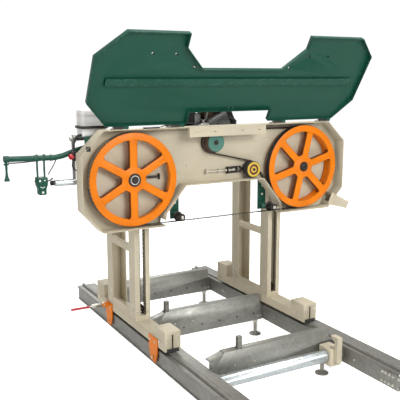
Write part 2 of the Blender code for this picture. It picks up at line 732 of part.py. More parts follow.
def make_belt_drive(shop):
    """The engine's pulley, the belt, and the idler that slides to tighten it."""
    half = WHEEL_SPACING / 2
    clear = GAP * 2
    pulleys = [
        (half, 0.0, SHEAVE_RADIUS + clear, 1), (*PULLEY_AT, PULLEY_RADIUS + clear, 1),
        (*IDLER_AT, IDLER_RADIUS + BELT_THICKNESS + clear, -1),
    ]
    path = belt_path(pulleys, math.radians(10))
    shop.part("drive_belt", bent_strip(path, BELT_THICKNESS, "y", BELT_FRONT, BELT_BACK), "rubber")
    x, z = PULLEY_AT
    profile = [
        (0.0, -0.024), (0.049, -0.024), (0.049, -0.014), (0.053, -0.012), (0.053, 0.016),
        (0.062, 0.018), (0.062, 0.0215), (PULLEY_RADIUS, 0.0215), (PULLEY_RADIUS, 0.0345),
        (0.062, 0.0345), (0.062, 0.038), (0.014, 0.038), (0.014, 0.118), (0.0, 0.118),
    ]
    pulley = spun(profile, "y", (0, 0), 28)
    shop.part("engine_pulley", pulley, "green", True, Vector((x, 0, z)))
    x, z = IDLER_AT
    profile = [
        (0.0085, -0.020), (0.046, -0.020), (0.046, 0.018), (IDLER_RADIUS, 0.020),
        (IDLER_RADIUS, 0.036), (0.0085, 0.036),
    ]
    shop.part("belt_idler", turned(profile, "y", (0, 0), 24), "yellow", True, Vector((x, 0, z)))
    slide = rod(0.008, "y", -0.026, 0.075, IDLER_AT, 12)
    slide = shop.part("belt_idler_slide", slide, "dark_steel")
    plate = box((x - 0.075, PAN_BACK + 0.0255, z - 0.014), (x + 0.030, PAN_BACK + 0.0295, z + 0.014))
    bolt = rod(0.006, "x", x - 0.267, x - 0.060, (0.0795, z), 10)
    return shop.combine(slide, "UNION", plate, bolt)


def make_tensioner(shop):
    """The sliding block that holds the idle wheel's axle, and the screw handle that draws it."""
    half = WHEEL_SPACING / 2
    block = box((-half - 0.050, 0.0458, -0.040), (-half + 0.050, 0.0738, 0.040))
    block = shop.part("tension_block", block, "dark_steel")
    shop.combine(block, "UNION", rod(AXLE_RADIUS, "y", -0.030, 0.050, (-half, 0.0)))
    start = -half - 0.050 - GAP
    profile = [
        (0.0, start), (0.008, start), (0.008, -0.780), (0.013, -0.782), (0.013, -0.920),
        (0.010, -0.925), (0.0, -0.925),
    ]
    handle = spun(profile, "x", (0, 0), 14)
    return shop.part("tension_handle", handle, "galvanised", True, Vector((0, 0.060, 0)))


def make_head_frame(shop):
    """The beam behind the pan, its two arms with shoes in the posts, engine shelf and shaft bearing."""
    behind = PAN_BACK + 0.0007
    front = 0.0697
    frame = shop.part("head_frame", box((-0.480, behind, 0.052), (0.420, front, 0.112)), "beige")
    pieces = []
    for left in MAST_XS.values():
        arm_left = left + ARM_SPAN[0]
        arm_right = left + ARM_SPAN[1]
        pieces.append(box((arm_left, front - 0.004, -0.050), (arm_right, 0.466, 0.055)))
        for y_start, y_end in ((0.0855, 0.148), (0.405, 0.470)):
            pieces.append(box((left + 0.0055, y_start, -0.060), (arm_right - 0.002, y_end, 0.060)))
    pieces.append(box((-0.235, front - 0.004, 0.060), (0.195, 0.385, 0.070)))
    bearing = box((0.490, behind, -0.045), (0.580, 0.110, 0.045))
    pieces.append(bearing)
    pieces.append(box((0.400, behind + 0.001, -0.020), (0.500, 0.068, 0.090)))
    shop.combine(frame, "UNION", *pieces)
    bore = rod(AXLE_RADIUS + 0.0006, "y", 0.0, 0.2, (WHEEL_SPACING / 2, 0.0))
    return shop.combine(frame, "DIFFERENCE", bore)


def make_guide_bar(shop):
    """The square bar on which the guide arms slide, between the head frame's arms."""
    left = MAST_XS["left"] + ARM_SPAN[1] + GAP
    right = MAST_XS["right"] + ARM_SPAN[0] - GAP
    return shop.part("guide_bar", box((left, 0.0575, -0.047), (right, 0.0695, -0.027)), "galvanised")


def make_guide(shop, side, arm_x, roller_x):
    """A green arm behind the pan and the roller that steadies the blade from above."""
    roller_z = -WHEEL_RADIUS + 0.0216
    arm = box((arm_x, 0.0460, -0.238), (arm_x + 0.050, 0.0560, -0.015))
    arm = shop.part(side + "_guide_arm", arm, "green")
    socket = box((arm_x, 0.0500, -0.055), (arm_x + 0.050, 0.0742, -0.019))
    shop.combine(arm, "UNION", socket)
    shop.combine(arm, "DIFFERENCE", box((arm_x - 0.01, 0.0570, -0.0475), (arm_x + 0.06, 0.0700, -0.0265)))
    low_x = min(arm_x + 0.010, roller_x - 0.010)
    high_x = max(arm_x + 0.040, roller_x + 0.010)
    block = box((low_x, 0.0195, roller_z - 0.014), (high_x, 0.050, roller_z + 0.014))
    shop.combine(arm, "UNION", block, rod(0.007, "y", -0.036, 0.030, (roller_x, roller_z), 12))
    profile = [
        (0.0075, -0.032), (0.021, -0.032), (0.021, 0.0165), (0.026, 0.0170), (0.026, 0.0190),
        (0.0075, 0.0190),
    ]
    roller = turned(profile, "y", (0, 0), 20)
    return shop.part(side + "_guide_roller", roller, "dark_steel", True, Vector((roller_x, 0, roller_z)))


def make_engine(shop):
    """The engine behind the pan, with its shaft on the pulley's axis."""
    x, z = PULLEY_AT
    case = box((x - 0.110, 0.120, 0.0705), (x + 0.100, 0.320, z + 0.075))
    block = shop.part("engine", case, "engine_black")
    cylinder = box((x - 0.030, 0.150, z - 0.055), (x + 0.255, 0.300, z + 0.075))
    turned_about(cylinder, "y", math.radians(-25), (x, 0, z))
    shop.combine(block, "UNION", cylinder)
    shop.combine(block, "DIFFERENCE", rod(0.0150, "y", 0.10, 0.1285, PULLEY_AT))
    profile = [(0.0, 0.315), (0.125, 0.315), (0.125, 0.360), (0.070, 0.385), (0.0, 0.385)]
    shroud = spun(profile, "y", (x, z + 0.030), 24)
    shop.combine(block, "UNION", shroud)
    tank = shop.part("engine_tank", box((x - 0.150, 0.170, 0.335), (x + 0.170, 0.335, 0.425)), "engine_black")
    bevel = tank.modifiers.new("round", "BEVEL")
    bevel.width = 0.022
    bevel.segments = 3


def make_lubricant_tank(shop):
    """The blade coolant tank behind the pan's upper left corner, and its red tap."""
    tank = shop.part("lube_tank", box((-0.775, 0.060, 0.222), (-0.645, 0.158, 0.362)), "tank_plastic")
    shop.combine(tank, "UNION", rod(0.022, "z", 0.350, 0.380, (-0.685, 0.109)))
    route = [(-0.760, 0.080, 0.232), (-0.788, 0.080, 0.232), (-0.812, 0.080, 0.205), (-0.816, 0.080, 0.150)]
    spout = pipe(route, 0.007, 10)
    shop.combine(tank, "UNION", spout)
    tap = merged(
        box((-0.836, 0.046, 0.120), (-0.8235, 0.070, 0.132)),
        box((-0.836, 0.082, 0.120), (-0.8235, 0.106, 0.132)),
    )
    tap = shop.part("lube_valve", tap, "red")
    shop.combine(tap, "UNION", rod(0.014, "x", -0.842, -0.822, (0.076, 0.126), 12))


def make_operator_handle(shop):
    """The bent green bar at the operator's end, with the throttle lever and the control box on it."""
    y = 0.125
    path = [
        (-0.690, 0.0462, 0.176), (-0.692, 0.090, 0.174), (-0.715, y, 0.170), (-0.790, y, 0.152),
        (-0.860, y, 0.129), (-0.900, y, 0.122), (-1.150, y, 0.127),
    ]
    bar = shop.part("operator_handle", pipe(path, 0.014), "green", smooth=True)
    shop.combine(bar, "UNION", box((-0.770, 0.0458, 0.150), (-0.650, 0.0510, 0.2215)))
    shop.combine(bar, "UNION", box((-0.770, 0.0470, 0.2160), (-0.650, 0.1500, 0.2217)))
    hangers = [rod(0.004, "z", 0.030, 0.118, (x, y), 8) for x in (-0.990, -0.955)]
    shop.combine(bar, "UNION", *hangers)
    case = box((-1.000, 0.105, -0.060), (-0.945, 0.145, 0.0297))
    shop.part("control_box", case, "green")
    lever = spun([
        (0.0, 0.1127), (0.006, 0.1127), (0.006, 0.045), (0.011, 0.030), (0.013, 0.020), (0.0, 0.020),
    ], "z", (-1.140, y), 12)
    shop.part("throttle_lever", lever, "dark_steel", smooth=True)


def make_cover(shop):
    """The blade cover, a rimmed tray hung on four hinges, drawn shut and then swung open."""
    outline = list(reversed(COVER_RIGHT_OUTLINE)) + COVER_LEFT_OUTLINE
    shape = tray(outline, COVER_SHEET, "y", COVER_PLATE_Y, COVER_PLATE_Y + COVER_SHEET, COVER_RIM_Y)
    cover = shop.part("blade_cover", shape, "green", False, Vector((0, HINGE_Y, HINGE_Z)))
    back = COVER_PLATE_Y + COVER_SHEET
    rib = channel_outline(back + 0.010, back - 0.001, -0.268, -0.228, 0.0025)
    barrels = []
    for x in HINGE_XS:
        start = x + 0.029
        end = x + 0.055
        outer = [(0.0075, -0.0030), (0.0075, 0.0), (0.0053, 0.0053), (0.0, 0.0075), (-0.0053, 0.0053),
                 (-0.0075, 0.0), (-0.0075, -0.0030), (-0.0040, -0.0135), (0.0020, -0.0135)]
        barrels.append(prism(outer, "x", start, end))
    shop.combine(cover, "UNION", prism(rib, "x", -0.735, 0.735), merged(*barrels))
    pins = [rod(0.0036, "x", x + 0.025, x + 0.060, count=10) for x in HINGE_XS]
    holes = []
    for x, v in ((0.520, 0.397), (0.395, 0.396), (0.283, 0.331)):
        holes.append(rod(0.008, "y", -0.06, 0.0, (x, -v), 12))
        holes.append(rod(0.008, "y", -0.06, 0.0, (-x, -v), 12))
    shop.combine(cover, "DIFFERENCE", merged(*pins), merged(*holes))
    cover.rotation_euler.x = -COVER_OPEN
    return cover


def make_head(shop):
    half = WHEEL_SPACING / 2
    pan = make_pan(shop)
    add_chute(shop, pan)
    add_hinge_leaves(shop, pan)
    make_front_beam(shop)
    make_head_frame(shop)
    make_band_wheel(shop, "idle_wheel", "idle_tyre", -half, 0.0)
    make_band_wheel(shop, "drive_wheel", "drive_tyre", half, DRIVE_WHEEL_TURN, 0.125)
    make_blade(shop)
    make_belt_drive(shop)
    make_tensioner(shop)
    make_guide_bar(shop)
    make_guide(shop, "left", -0.300, -0.270)
    make_guide(shop, "right", 0.265, 0.323)
    make_engine(shop)
    make_lubricant_tank(shop)
    make_operator_handle(shop)
    make_cover(shop)


def main():
    clear_scene()
    shop = Shop()
    make_bed(shop)
    make_carriage(shop)
    make_head(shop)


main()
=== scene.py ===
"""Portable band sawmill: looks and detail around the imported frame.

Pieces are drawn in millimetres from the saw centre, midway between the band wheels. The frame,
the stage and the hinge below are in metres.
"""

import json
import math

import bmesh
import bpy
from mathutils import Matrix, Vector


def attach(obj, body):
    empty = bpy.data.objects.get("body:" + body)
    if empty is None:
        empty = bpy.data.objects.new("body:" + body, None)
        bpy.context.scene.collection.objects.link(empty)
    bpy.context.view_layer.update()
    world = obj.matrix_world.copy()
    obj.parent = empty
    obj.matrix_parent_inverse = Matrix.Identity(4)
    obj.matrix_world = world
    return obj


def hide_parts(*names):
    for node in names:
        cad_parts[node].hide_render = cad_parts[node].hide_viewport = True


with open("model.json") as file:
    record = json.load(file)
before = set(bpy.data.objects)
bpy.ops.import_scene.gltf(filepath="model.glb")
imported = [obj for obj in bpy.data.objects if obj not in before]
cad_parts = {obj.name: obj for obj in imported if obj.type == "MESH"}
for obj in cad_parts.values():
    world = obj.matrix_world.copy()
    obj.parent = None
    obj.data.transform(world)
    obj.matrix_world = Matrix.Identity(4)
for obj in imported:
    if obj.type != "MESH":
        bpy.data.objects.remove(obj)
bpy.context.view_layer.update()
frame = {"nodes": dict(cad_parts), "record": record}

CENTRE = Vector((0.1369, 0.0, 1.05))
MM = 0.001
HINGE = Vector((0.0, -0.045, 0.2685))
COVER_OPEN = 150
WHEEL_X = 535
WHEEL_R = 241.3
HINGES_X = (-630, -320, 320, 640)
PULLEY = (-55, 168)
IDLER = (189, 6)
SHAFT = (440, 182)
CRANK_PIN = (440, 182 - 237)
SHOE_Y = 115
LOW_SPROCKET = (SHOE_Y, -738)
TRACK_WHEELS_Y = {"front": -225, "rear": 605}
TRACK_AXLE_Z = -800.7
BUNK_FACES = (-515, 130, 775)
MAST_LEFT = {"left": -503, "right": 358}
MAST_WIDE = 88
AXES = {"x": Vector((1, 0, 0)), "y": Vector((0, 1, 0)), "z": Vector((0, 0, 1))}
BODY_OF = {n: b for b, names in frame["record"]["behaviour"]["bodies"].items() for n in names}
SLOT_OF = {row["node"]: row["material_slot"] for row in frame["record"]["subparts"]}


# Materials


class Graph:
    """A material's node tree, with short calls for the nodes that the finishes share."""

    def __init__(self, name):
        self.material = bpy.data.materials.new(name)
        self.material.use_nodes = True
        self.tree = self.material.node_tree
        self.shader = self.tree.nodes["Principled BSDF"]
        self.coords = self.node("ShaderNodeTexCoord").outputs["Object"]

    def node(self, kind, **settings):
        made = self.tree.nodes.new(kind)
        for key, value in settings.items():
            setattr(made, key, value)
        return made

    def join(self, source, target):
        self.tree.links.new(source, target)

    def stretched(self, scale):
        mapping = self.node("ShaderNodeMapping")
        mapping.inputs["Scale"].default_value = scale
        self.join(self.coords, mapping.inputs["Vector"])
        return mapping.outputs["Vector"]

    def noise(self, scale, detail=4.0, rough=0.55, vector=None):
        made = self.node("ShaderNodeTexNoise")
        made.inputs["Scale"].default_value = scale
        made.inputs["Detail"].default_value = detail
        made.inputs["Roughness"].default_value = rough
        self.join(vector or self.coords, made.inputs["Vector"])
        return made.outputs["Fac"]

    def cells(self, scale):
        made = self.node("ShaderNodeTexVoronoi")
        made.inputs["Scale"].default_value = scale
        self.join(self.coords, made.inputs["Vector"])
        return made.outputs["Color"]

    def span(self, value, low, high, to_low=0.0, to_high=1.0):
        made = self.node("ShaderNodeMapRange")
        for key, number in (("From Min", low), ("From Max", high), ("To Min", to_low), ("To Max", to_high)):
            made.inputs[key].default_value = number
        self.join(value, made.inputs["Value"])
        return made.outputs["Result"]

    def math(self, operation, first, second):
        made = self.node("ShaderNodeMath", operation=operation)
        for socket, value in zip(made.inputs, (first, second)):
            if isinstance(value, float):
                socket.default_value = value
            else:
                self.join(value, socket)
        return made.outputs["Value"]

    def mix(self, factor, first, second):
        made = self.node("ShaderNodeMix", data_type="RGBA")
        self.join(factor, made.inputs["Factor"])
        for socket, value in ((made.inputs[6], first), (made.inputs[7], second)):
            if isinstance(value, tuple):
                socket.default_value = (*value, 1.0)
            else:
                self.join(value, socket)
        return made.outputs[2]

    def bump(self, height, strength, distance, before=None):
        made = self.node("ShaderNodeBump")
        made.inputs["Strength"].default_value = strength
        made.inputs["Distance"].default_value = distance
        self.join(height, made.inputs["Height"])
        if before is not None:
            self.join(before, made.inputs["Normal"])
        return made.outputs["Normal"]

    def pointed(self, low, high):
        """0 to 1 as the surface goes from the lower pointiness (hollows) to the higher (edges)."""
        return self.span(self.node("ShaderNodeNewGeometry").outputs["Pointiness"], low, high)

    def finish(self, tone, rough, normal, constants):
        for socket, source in (("Base Color", tone), ("Roughness", rough), ("Normal", normal)):
            self.join(source, self.shader.inputs[socket])
        for socket, value in constants.items():
            self.shader.inputs[socket].default_value = value
        return self.material


def shade(colour, factor):
    return tuple(min(1.0, c * factor) for c in colour)


def painted(name, colour, rough, wear=(0.3, 0.29, 0.27), worn=0.35, dust=0.12, shine=0.3):
    """Powder coat: faint orange peel, cloudy tone, dusty hollows and edges rubbed through."""
    g = Graph(name)
    cloud = g.span(g.noise(3.5, 5.0), 0.35, 0.68)
    tone = g.mix(cloud, shade(colour, 0.93), shade(colour, 1.05))
    speck = g.span(g.noise(160.0, 3.0), 0.66, 0.74, 0.0, dust)
    dusty = tuple(0.5 * c + 0.5 * d for c, d in zip(colour, (0.42, 0.38, 0.31)))
    tone = g.mix(speck, tone, dusty)
    smear = g.span(g.noise(11.0, 6.0, 0.62), 0.56, 0.8, 0.0, dust * 1.6)
    tone = g.mix(smear, tone, dusty)
    rubbed = g.math("MULTIPLY", g.pointed(0.53, 0.62), g.span(g.noise(55.0, 5.0), 0.5, 0.66, 0.0, worn))
    tone = g.mix(rubbed, tone, wear)
    roughness = g.span(g.noise(24.0, 5.0), 0.3, 0.75, rough - 0.06, rough + 0.12)
    peel = g.bump(g.noise(420.0, 2.0), 0.1, 0.0006)
    normal = g.bump(g.noise(36.0, 3.0), 0.05, 0.002, peel)
    return g.finish(tone, roughness, normal, {"Specular IOR Level": shine})


def cast_enamel(name, colour):
    """Thick enamel over a sand casting: a pebbled skin, with painted shade darkening the hollows."""
    g = Graph(name)
    cloud = g.span(g.noise(9.0, 5.0), 0.32, 0.7)
    tone = g.mix(cloud, shade(colour, 0.88), shade(colour, 1.06))
    # Painted shade: the hollows, found by pointiness, are darkened to 0.62 of the colour.
    tone = g.mix(g.pointed(0.4, 0.49), shade(colour, 0.62), tone)
    scuff = g.span(g.noise(70.0, 6.0, 0.65), 0.63, 0.72, 0.0, 0.35)
    tone = g.mix(scuff, tone, shade(colour, 0.74))
    roughness = g.span(g.noise(40.0, 4.0), 0.3, 0.7, 0.3, 0.46)
    grain = g.bump(g.noise(330.0, 3.0, 0.6), 0.22, 0.001)
    normal = g.bump(g.noise(60.0, 3.0), 0.1, 0.002, grain)
    return g.finish(tone, roughness, normal, {"Specular IOR Level": 0.22})


def galvanised(name, colour, along):
    """Zinc coat: small crystals, rolling streaks, dull chalky patches and dirt in the corners."""
    g = Graph(name)
    grey = g.node("ShaderNodeRGBToBW")
    g.join(g.cells(70.0), grey.inputs["Color"])
    tone = g.mix(g.span(grey.outputs["Val"], 0.2, 0.8), shade(colour, 0.9), shade(colour, 1.1))
    chalk = g.span(g.noise(5.0, 6.0, 0.6), 0.45, 0.72, 0.0, 0.55)
    tone = g.mix(chalk, tone, shade(colour, 1.3))
    streak = g.span(g.noise(14.0, 4.0, 0.6, g.stretched(along)), 0.52, 0.75, 0.0, 0.35)
    tone = g.mix(streak, tone, shade(colour, 0.66))
    stain = g.span(g.noise(30.0, 6.0, 0.7), 0.64, 0.76, 0.0, 0.4)
    tone = g.mix(stain, tone, (0.27, 0.22, 0.16))
    rough = g.span(g.noise(18.0, 5.0), 0.3, 0.7, 0.36, 0.58)
    rough = g.math("ADD", rough, g.span(grey.outputs["Val"], 0.0, 1.0, -0.05, 0.05))
    return g.finish(tone, rough, g.bump(g.noise(180.0, 4.0), 0.1, 0.0008), {"Metallic": 0.72})


def machined(name, colour, rough, metallic=1.0, rust=0.0, grain=(1.0, 1.0, 1.0), oil=0.25):
    """Bare or plated steel: fine tool marks, oily darker patches and, where asked, brown rust."""
    g = Graph(name)
    marks = g.noise(240.0, 2.0, 0.5, g.stretched(grain))
    tone = g.mix(g.span(marks, 0.35, 0.65), shade(colour, 0.88), shade(colour, 1.1))
    oily = g.span(g.noise(28.0, 5.0, 0.6), 0.5, 0.72, 0.0, oil)
    tone = g.mix(oily, tone, shade(colour, 0.5))
    if rust:
        brown = g.span(g.noise(60.0, 6.0, 0.7), 0.6, 0.74, 0.0, rust)
        tone = g.mix(brown, tone, (0.2, 0.09, 0.04))
    roughness = g.span(g.noise(50.0, 5.0), 0.3, 0.7, rough - 0.07, rough + 0.14)
    return g.finish(tone, roughness, g.bump(marks, 0.1, 0.0004), {"Metallic": metallic})


def rubbery(name, colour):
    """Moulded rubber: matt, with paler bloom, sawdust specks and a faint cloth grain."""
    g = Graph(name)
    bloom = g.span(g.noise(20.0, 5.0, 0.6), 0.42, 0.74, 0.0, 0.55)
    tone = g.mix(bloom, colour, shade(colour, 2.6))
    specks = g.span(g.noise(300.0, 2.0), 0.7, 0.76, 0.0, 0.35)
    tone = g.mix(specks, tone, (0.3, 0.24, 0.16))
    roughness = g.span(g.noise(45.0, 4.0), 0.3, 0.7, 0.62, 0.86)
    return g.finish(tone, roughness, g.bump(g.noise(900.0, 2.0), 0.3, 0.0006), {})


def plastic(name, colour, rough, through=0.0, mottle=0.06, grain=0.12):
    """Moulded plastic, with its faint grain, scuffs and, for a tank, light coming through."""
    g = Graph(name)
    cloud = g.span(g.noise(13.0, 4.0), 0.35, 0.7)
    tone = g.mix(cloud, shade(colour, 1.0 - mottle), shade(colour, 1.0 + mottle))
    scuff = g.span(g.noise(90.0, 5.0, 0.65), 0.62, 0.74, 0.0, 0.25)
    tone = g.mix(scuff, tone, tuple(0.6 * c + 0.4 * 0.5 for c in colour))
    roughness = g.span(g.noise(60.0, 4.0), 0.3, 0.7, rough - 0.06, rough + 0.12)
    constants = {}
    if through:
        constants = {
            "Subsurface Weight": through, "Subsurface Radius": (0.03, 0.028, 0.025), "Subsurface Scale": 1.0,
        }
    return g.finish(tone, roughness, g.bump(g.noise(650.0, 2.0), grain, 0.0005), constants)


BEIGE = (0.6, 0.535, 0.4)
GREEN = (0.006, 0.068, 0.042)
FINISHES = {
    "beige": painted("cream_powder_coat", BEIGE, 0.46, worn=0.35, dust=0.1, shine=0.25),
    "green": painted("green_powder_coat", GREEN, 0.34, (0.16, 0.24, 0.2), 0.3, 0.02, 0.25),
    "green_disc": painted("green_casting", (0.075, 0.205, 0.16), 0.5, worn=0.4, dust=0.2),
    "orange": cast_enamel("orange_enamel", (0.86, 0.215, 0.002)),
    # Painted shade: a dark brown copy of the orange enamel, laid on the window walls of the band wheels.
    "orange_shade": cast_enamel("enamel_in_windows", (0.17, 0.05, 0.01)),
    "galvanised": galvanised("galvanised_steel", (0.24, 0.236, 0.214), (6.0, 0.5, 6.0)),
    "bunk": galvanised("galvanised_bunk", (0.26, 0.26, 0.235), (0.5, 6.0, 6.0)),
    "tube": machined("drawn_tube", (0.5, 0.54, 0.55), 0.3, grain=(0.2, 3.0, 3.0), oil=0.06),
    "zinc": machined("zinc_plate", (0.7, 0.68, 0.62), 0.28, oil=0.4),
    "dark_steel": machined("blacked_steel", (0.05, 0.045, 0.042), 0.42, 0.85, oil=0.45),
    "chain": machined("oiled_chain", (0.08, 0.062, 0.048), 0.38, 0.9, rust=0.35, oil=0.5),
    "blade": machined("band_steel", (0.2, 0.19, 0.18), 0.26, grain=(0.3, 6.0, 0.3), oil=0.2),
    "rubber": rubbery("moulded_rubber", (0.018, 0.016, 0.015)),
    "belt": rubbery("belt_rubber", (0.035, 0.024, 0.018)),
    "drum": rubbery("worn_lagging", (0.06, 0.034, 0.022)),
    "engine_black": painted("engine_enamel", (0.018, 0.018, 0.019), 0.34, worn=0.2, dust=0.06),
    "alloy": machined("cast_alloy", (0.42, 0.42, 0.41), 0.48, 0.85, oil=0.35),
    "yellow": machined("yellow_zinc", (0.78, 0.55, 0.07), 0.34, 0.45, oil=0.2),
    "brown": machined("tarnished_seal", (0.14, 0.045, 0.03), 0.42, 0.4, oil=0.35),
    "red": plastic("red_moulding", (0.5, 0.012, 0.022), 0.33),
    "black_plastic": plastic("black_moulding", (0.018, 0.018, 0.019), 0.45, grain=0.25),
    "white": plastic("pale_moulding", (0.78, 0.77, 0.73), 0.4),
    "tank": plastic("tank_moulding", (0.86, 0.83, 0.8), 0.38, through=0.45, mottle=0.03),
    "muffler": machined("heat_stained_steel", (0.2, 0.13, 0.09), 0.5, 0.8, rust=0.6, oil=0.4),
}


# Shapes


def placed(axis, along, a, b):
    if axis == "x":
        return Vector((along, a, b))
    if axis == "y":
        return Vector((a, along, b))
    return Vector((a, b, along))


def rect(a0, b0, a1, b1):
    return [(a0, b0), (a1, b0), (a1, b1), (a0, b1)]


def polar(radius, angle, centre=(0, 0)):
    return centre[0] + radius * math.cos(angle), centre[1] + radius * math.sin(angle)


def spin(degrees, axis="Y"):
    return Matrix.Rotation(math.radians(degrees), 3, axis)


def arc(radius, centre, start, step, count):
    """Points round the centre, the first at the start angle, each a step on, in degrees."""
    return [polar(radius, math.radians(start + step * k), centre) for k in range(count)]


def skin(shape, rings, closed=True):
    """Quads between each ring of vertices and the next, and back to the first where closed."""
    after = rings[1:] + rings[:1] if closed else rings[1:]
    for one, two in zip(rings, after):
        for j in range(len(one)):
            k = (j + 1) % len(one)
            shape.faces.new((one[j], one[k], two[k], two[j]))


def circle(radius, centre=(0, 0), count=24, start=0):
    return [polar(radius, start + math.tau * i / count, centre) for i in range(count)]


class Piece:
    """One visible piece, gathered from closed shapes placed from the saw centre."""

    def __init__(self, name, body, slot, finish=None):
        self.name = name
        self.body = body
        self.slot = slot
        self.finish = FINISHES[finish or slot]
        self.mesh = bmesh.new()

    def add(self, shape, bevel=0, segments=2, turn=None, about=(0, 0, 0)):
        """Takes in a closed bmesh, rounding its sharp edges and turning it about a point."""
        bmesh.ops.recalc_face_normals(shape, faces=shape.faces)
        bmesh.ops.scale(shape, vec=(MM, MM, MM), verts=shape.verts)
        if bevel:
            sharp = [e for e in shape.edges if e.calc_face_angle(0) > math.radians(32)]
            bmesh.ops.bevel(
                shape, geom=sharp, offset=bevel * MM, segments=segments, profile=0.5, affect="EDGES",
                clamp_overlap=True,
            )
        if turn is not None:
            bmesh.ops.rotate(shape, cent=Vector(about) * MM, matrix=turn, verts=shape.verts)
        made = bpy.data.meshes.new("shape")
        shape.to_mesh(made)
        shape.free()
        self.mesh.from_mesh(made)
        bpy.data.meshes.remove(made)

    def block(self, low, high, bevel=1, **turned):
        shape = bmesh.new()
        bmesh.ops.create_cube(shape, size=1.0)
        low = Vector(low)
        high = Vector(high)
        bmesh.ops.scale(shape, vec=high - low, verts=shape.verts)
        bmesh.ops.translate(shape, vec=(low + high) / 2, verts=shape.verts)
        self.add(shape, bevel, **turned)

    def prism(self, outline, axis, start, end, bevel=1, **turned):
        shape = bmesh.new()
        face = shape.faces.new([shape.verts.new(placed(axis, start, a, b)) for a, b in outline])
        grown = bmesh.ops.extrude_face_region(shape, geom=[face])
        moved = [v for v in grown["geom"] if isinstance(v, bmesh.types.BMVert)]
        bmesh.ops.translate(shape, vec=AXES[axis] * (end - start), verts=moved)
        self.add(shape, bevel, **turned)

    def turned(self, profile, axis, centre=(0, 0), count=32, **turned):
        """A closed profile of (radius, along), turned about the axis; radius 0 closes it."""
        shape = bmesh.new()
        rings = []
        for i in range(count):
            angle = math.tau * i / count
            ends = [placed(axis, along, *polar(radius, angle, centre)) for radius, along in profile]
            rings.append([shape.verts.new(end) for end in ends])
        skin(shape, rings)
        bmesh.ops.remove_doubles(shape, verts=shape.verts, dist=0.002)
        self.add(shape, **turned)

    def rod(self, radius, axis, start, end, centre=(0, 0), count=20, chamfer=0.8, **turned):
        low, high = min(start, end), max(start, end)
        profile = [
            (0, low), (radius - chamfer, low), (radius, low + chamfer), (radius, high - chamfer),
            (radius - chamfer, high), (0, high),
        ]
        self.turned(profile, axis, centre, count, **turned)

    def hexagon(self, across, axis, start, end, centre=(0, 0), spin=0, bevel=0.6, **turned):
        outline = circle(across / math.sqrt(3), centre, 6, spin)
        self.prism(outline, axis, start, end, bevel, segments=1, **turned)

    def pipe(self, points, radius, sides=12):
        """A round bar along the points, with rounded-over flat ends."""
        route = [Vector(p) for p in points]
        radii = radius if isinstance(radius, list) else [radius] * len(route)
        shape = bmesh.new()
        rings = []
        first = (route[1] - route[0]).normalized()
        across = first.orthogonal().normalized()
        for i, here in enumerate(route):
            before = route[max(i - 1, 0)]
            after = route[min(i + 1, len(route) - 1)]
            along = (after - before).normalized()
            across = (across - along * across.dot(along)).normalized()
            up = along.cross(across)
            ring = []
            for k in range(sides):
                angle = math.tau * k / sides
                offset = (across * math.cos(angle) + up * math.sin(angle)) * radii[i]
                ring.append(shape.verts.new(here + offset))
            rings.append(ring)
        skin(shape, rings, closed=False)
        shape.faces.new(list(reversed(rings[0])))
        shape.faces.new(rings[-1])
        self.add(shape)

    def bolt(self, at, axis, size=10, out=1, stud=0):
        """A washer with a hexagon head on it, standing out along the axis, and a stud end beyond."""
        point = Vector(at)
        index = "xyz".index(axis)
        along = point[index]
        centre = [point[i] for i in range(3) if i != index]
        washer = size * 0.18
        tall = size * 0.65
        self.turned(rect(0, along, size * 1.05, along + out * washer), axis, centre, 20)
        top = along + out * (washer + tall)
        self.hexagon(size * 1.6, axis, along + out * washer, top, centre, spin=size * 0.137)
        if stud:
            self.rod(size * 0.48, axis, top, top + out * stud, centre, 12)

    def done(self, replaces=(), smooth=30.0):
        """Makes the object, sets it on its body and hides the CAD parts it stands for."""
        data = bpy.data.meshes.new(self.name)
        bmesh.ops.translate(self.mesh, vec=CENTRE, verts=self.mesh.verts)
        self.mesh.to_mesh(data)
        self.mesh.free()
        made = bpy.data.objects.new(self.name, data)
        bpy.context.scene.collection.objects.link(made)
        data.materials.append(self.finish)
        data.shade_smooth()
        data.set_sharp_from_angle(angle=math.radians(smooth))
        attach(made, self.body)
        if replaces:
            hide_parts(*replaces)


def rounded(outline, radius, steps=3):
    """The outline with each corner replaced by a short arc-like run."""
    points = []
    count = len(outline)
    for i, corner in enumerate(outline):
        here = Vector(corner)
        before = Vector(outline[i - 1]) - here
        after = Vector(outline[(i + 1) % count]) - here
        reach = min(radius, before.length * 0.45, after.length * 0.45)
        first = here + before.normalized() * reach
        last = here + after.normalized() * reach
        for s in range(steps + 1):
            t = s / steps
            point = first * (1 - t) ** 2 + here * 2 * t * (1 - t) + last * t ** 2
            points.append((point.x, point.y))
    return points


def plate_mesh(outline, holes, thickness, edge=0.8):
    """A flat plate with holes, lying in its own x and y, as a bmesh centred on z."""
    curve = bpy.data.curves.new("plate", "CURVE")
    curve.dimensions = "2D"
    curve.fill_mode = "BOTH"
    edge *= MM
    curve.extrude = thickness * MM / 2 - edge
    curve.bevel_depth = edge
    curve.bevel_resolution = 1
    curve.offset = -edge
    for line in [outline, *holes]:
        spline = curve.splines.new("POLY")
        spline.points.add(len(line) - 1)
        for point, (a, b) in zip(spline.points, line):
            point.co = (a * MM, b * MM, 0.0, 1.0)
        spline.use_cyclic_u = True
    holder = bpy.data.objects.new("plate", curve)
    bpy.context.scene.collection.objects.link(holder)
    bpy.context.view_layer.update()
    mesh = bpy.data.meshes.new_from_object(holder.evaluated_get(bpy.context.evaluated_depsgraph_get()))
    shape = bmesh.new()
    shape.from_mesh(mesh)
    bmesh.ops.remove_doubles(shape, verts=shape.verts, dist=0.02 * MM)
    bmesh.ops.scale(shape, vec=(1 / MM, 1 / MM, 1 / MM), verts=shape.verts)
    bpy.data.meshes.remove(mesh)
    bpy.data.objects.remove(holder)
    bpy.data.curves.remove(curve)
    return shape


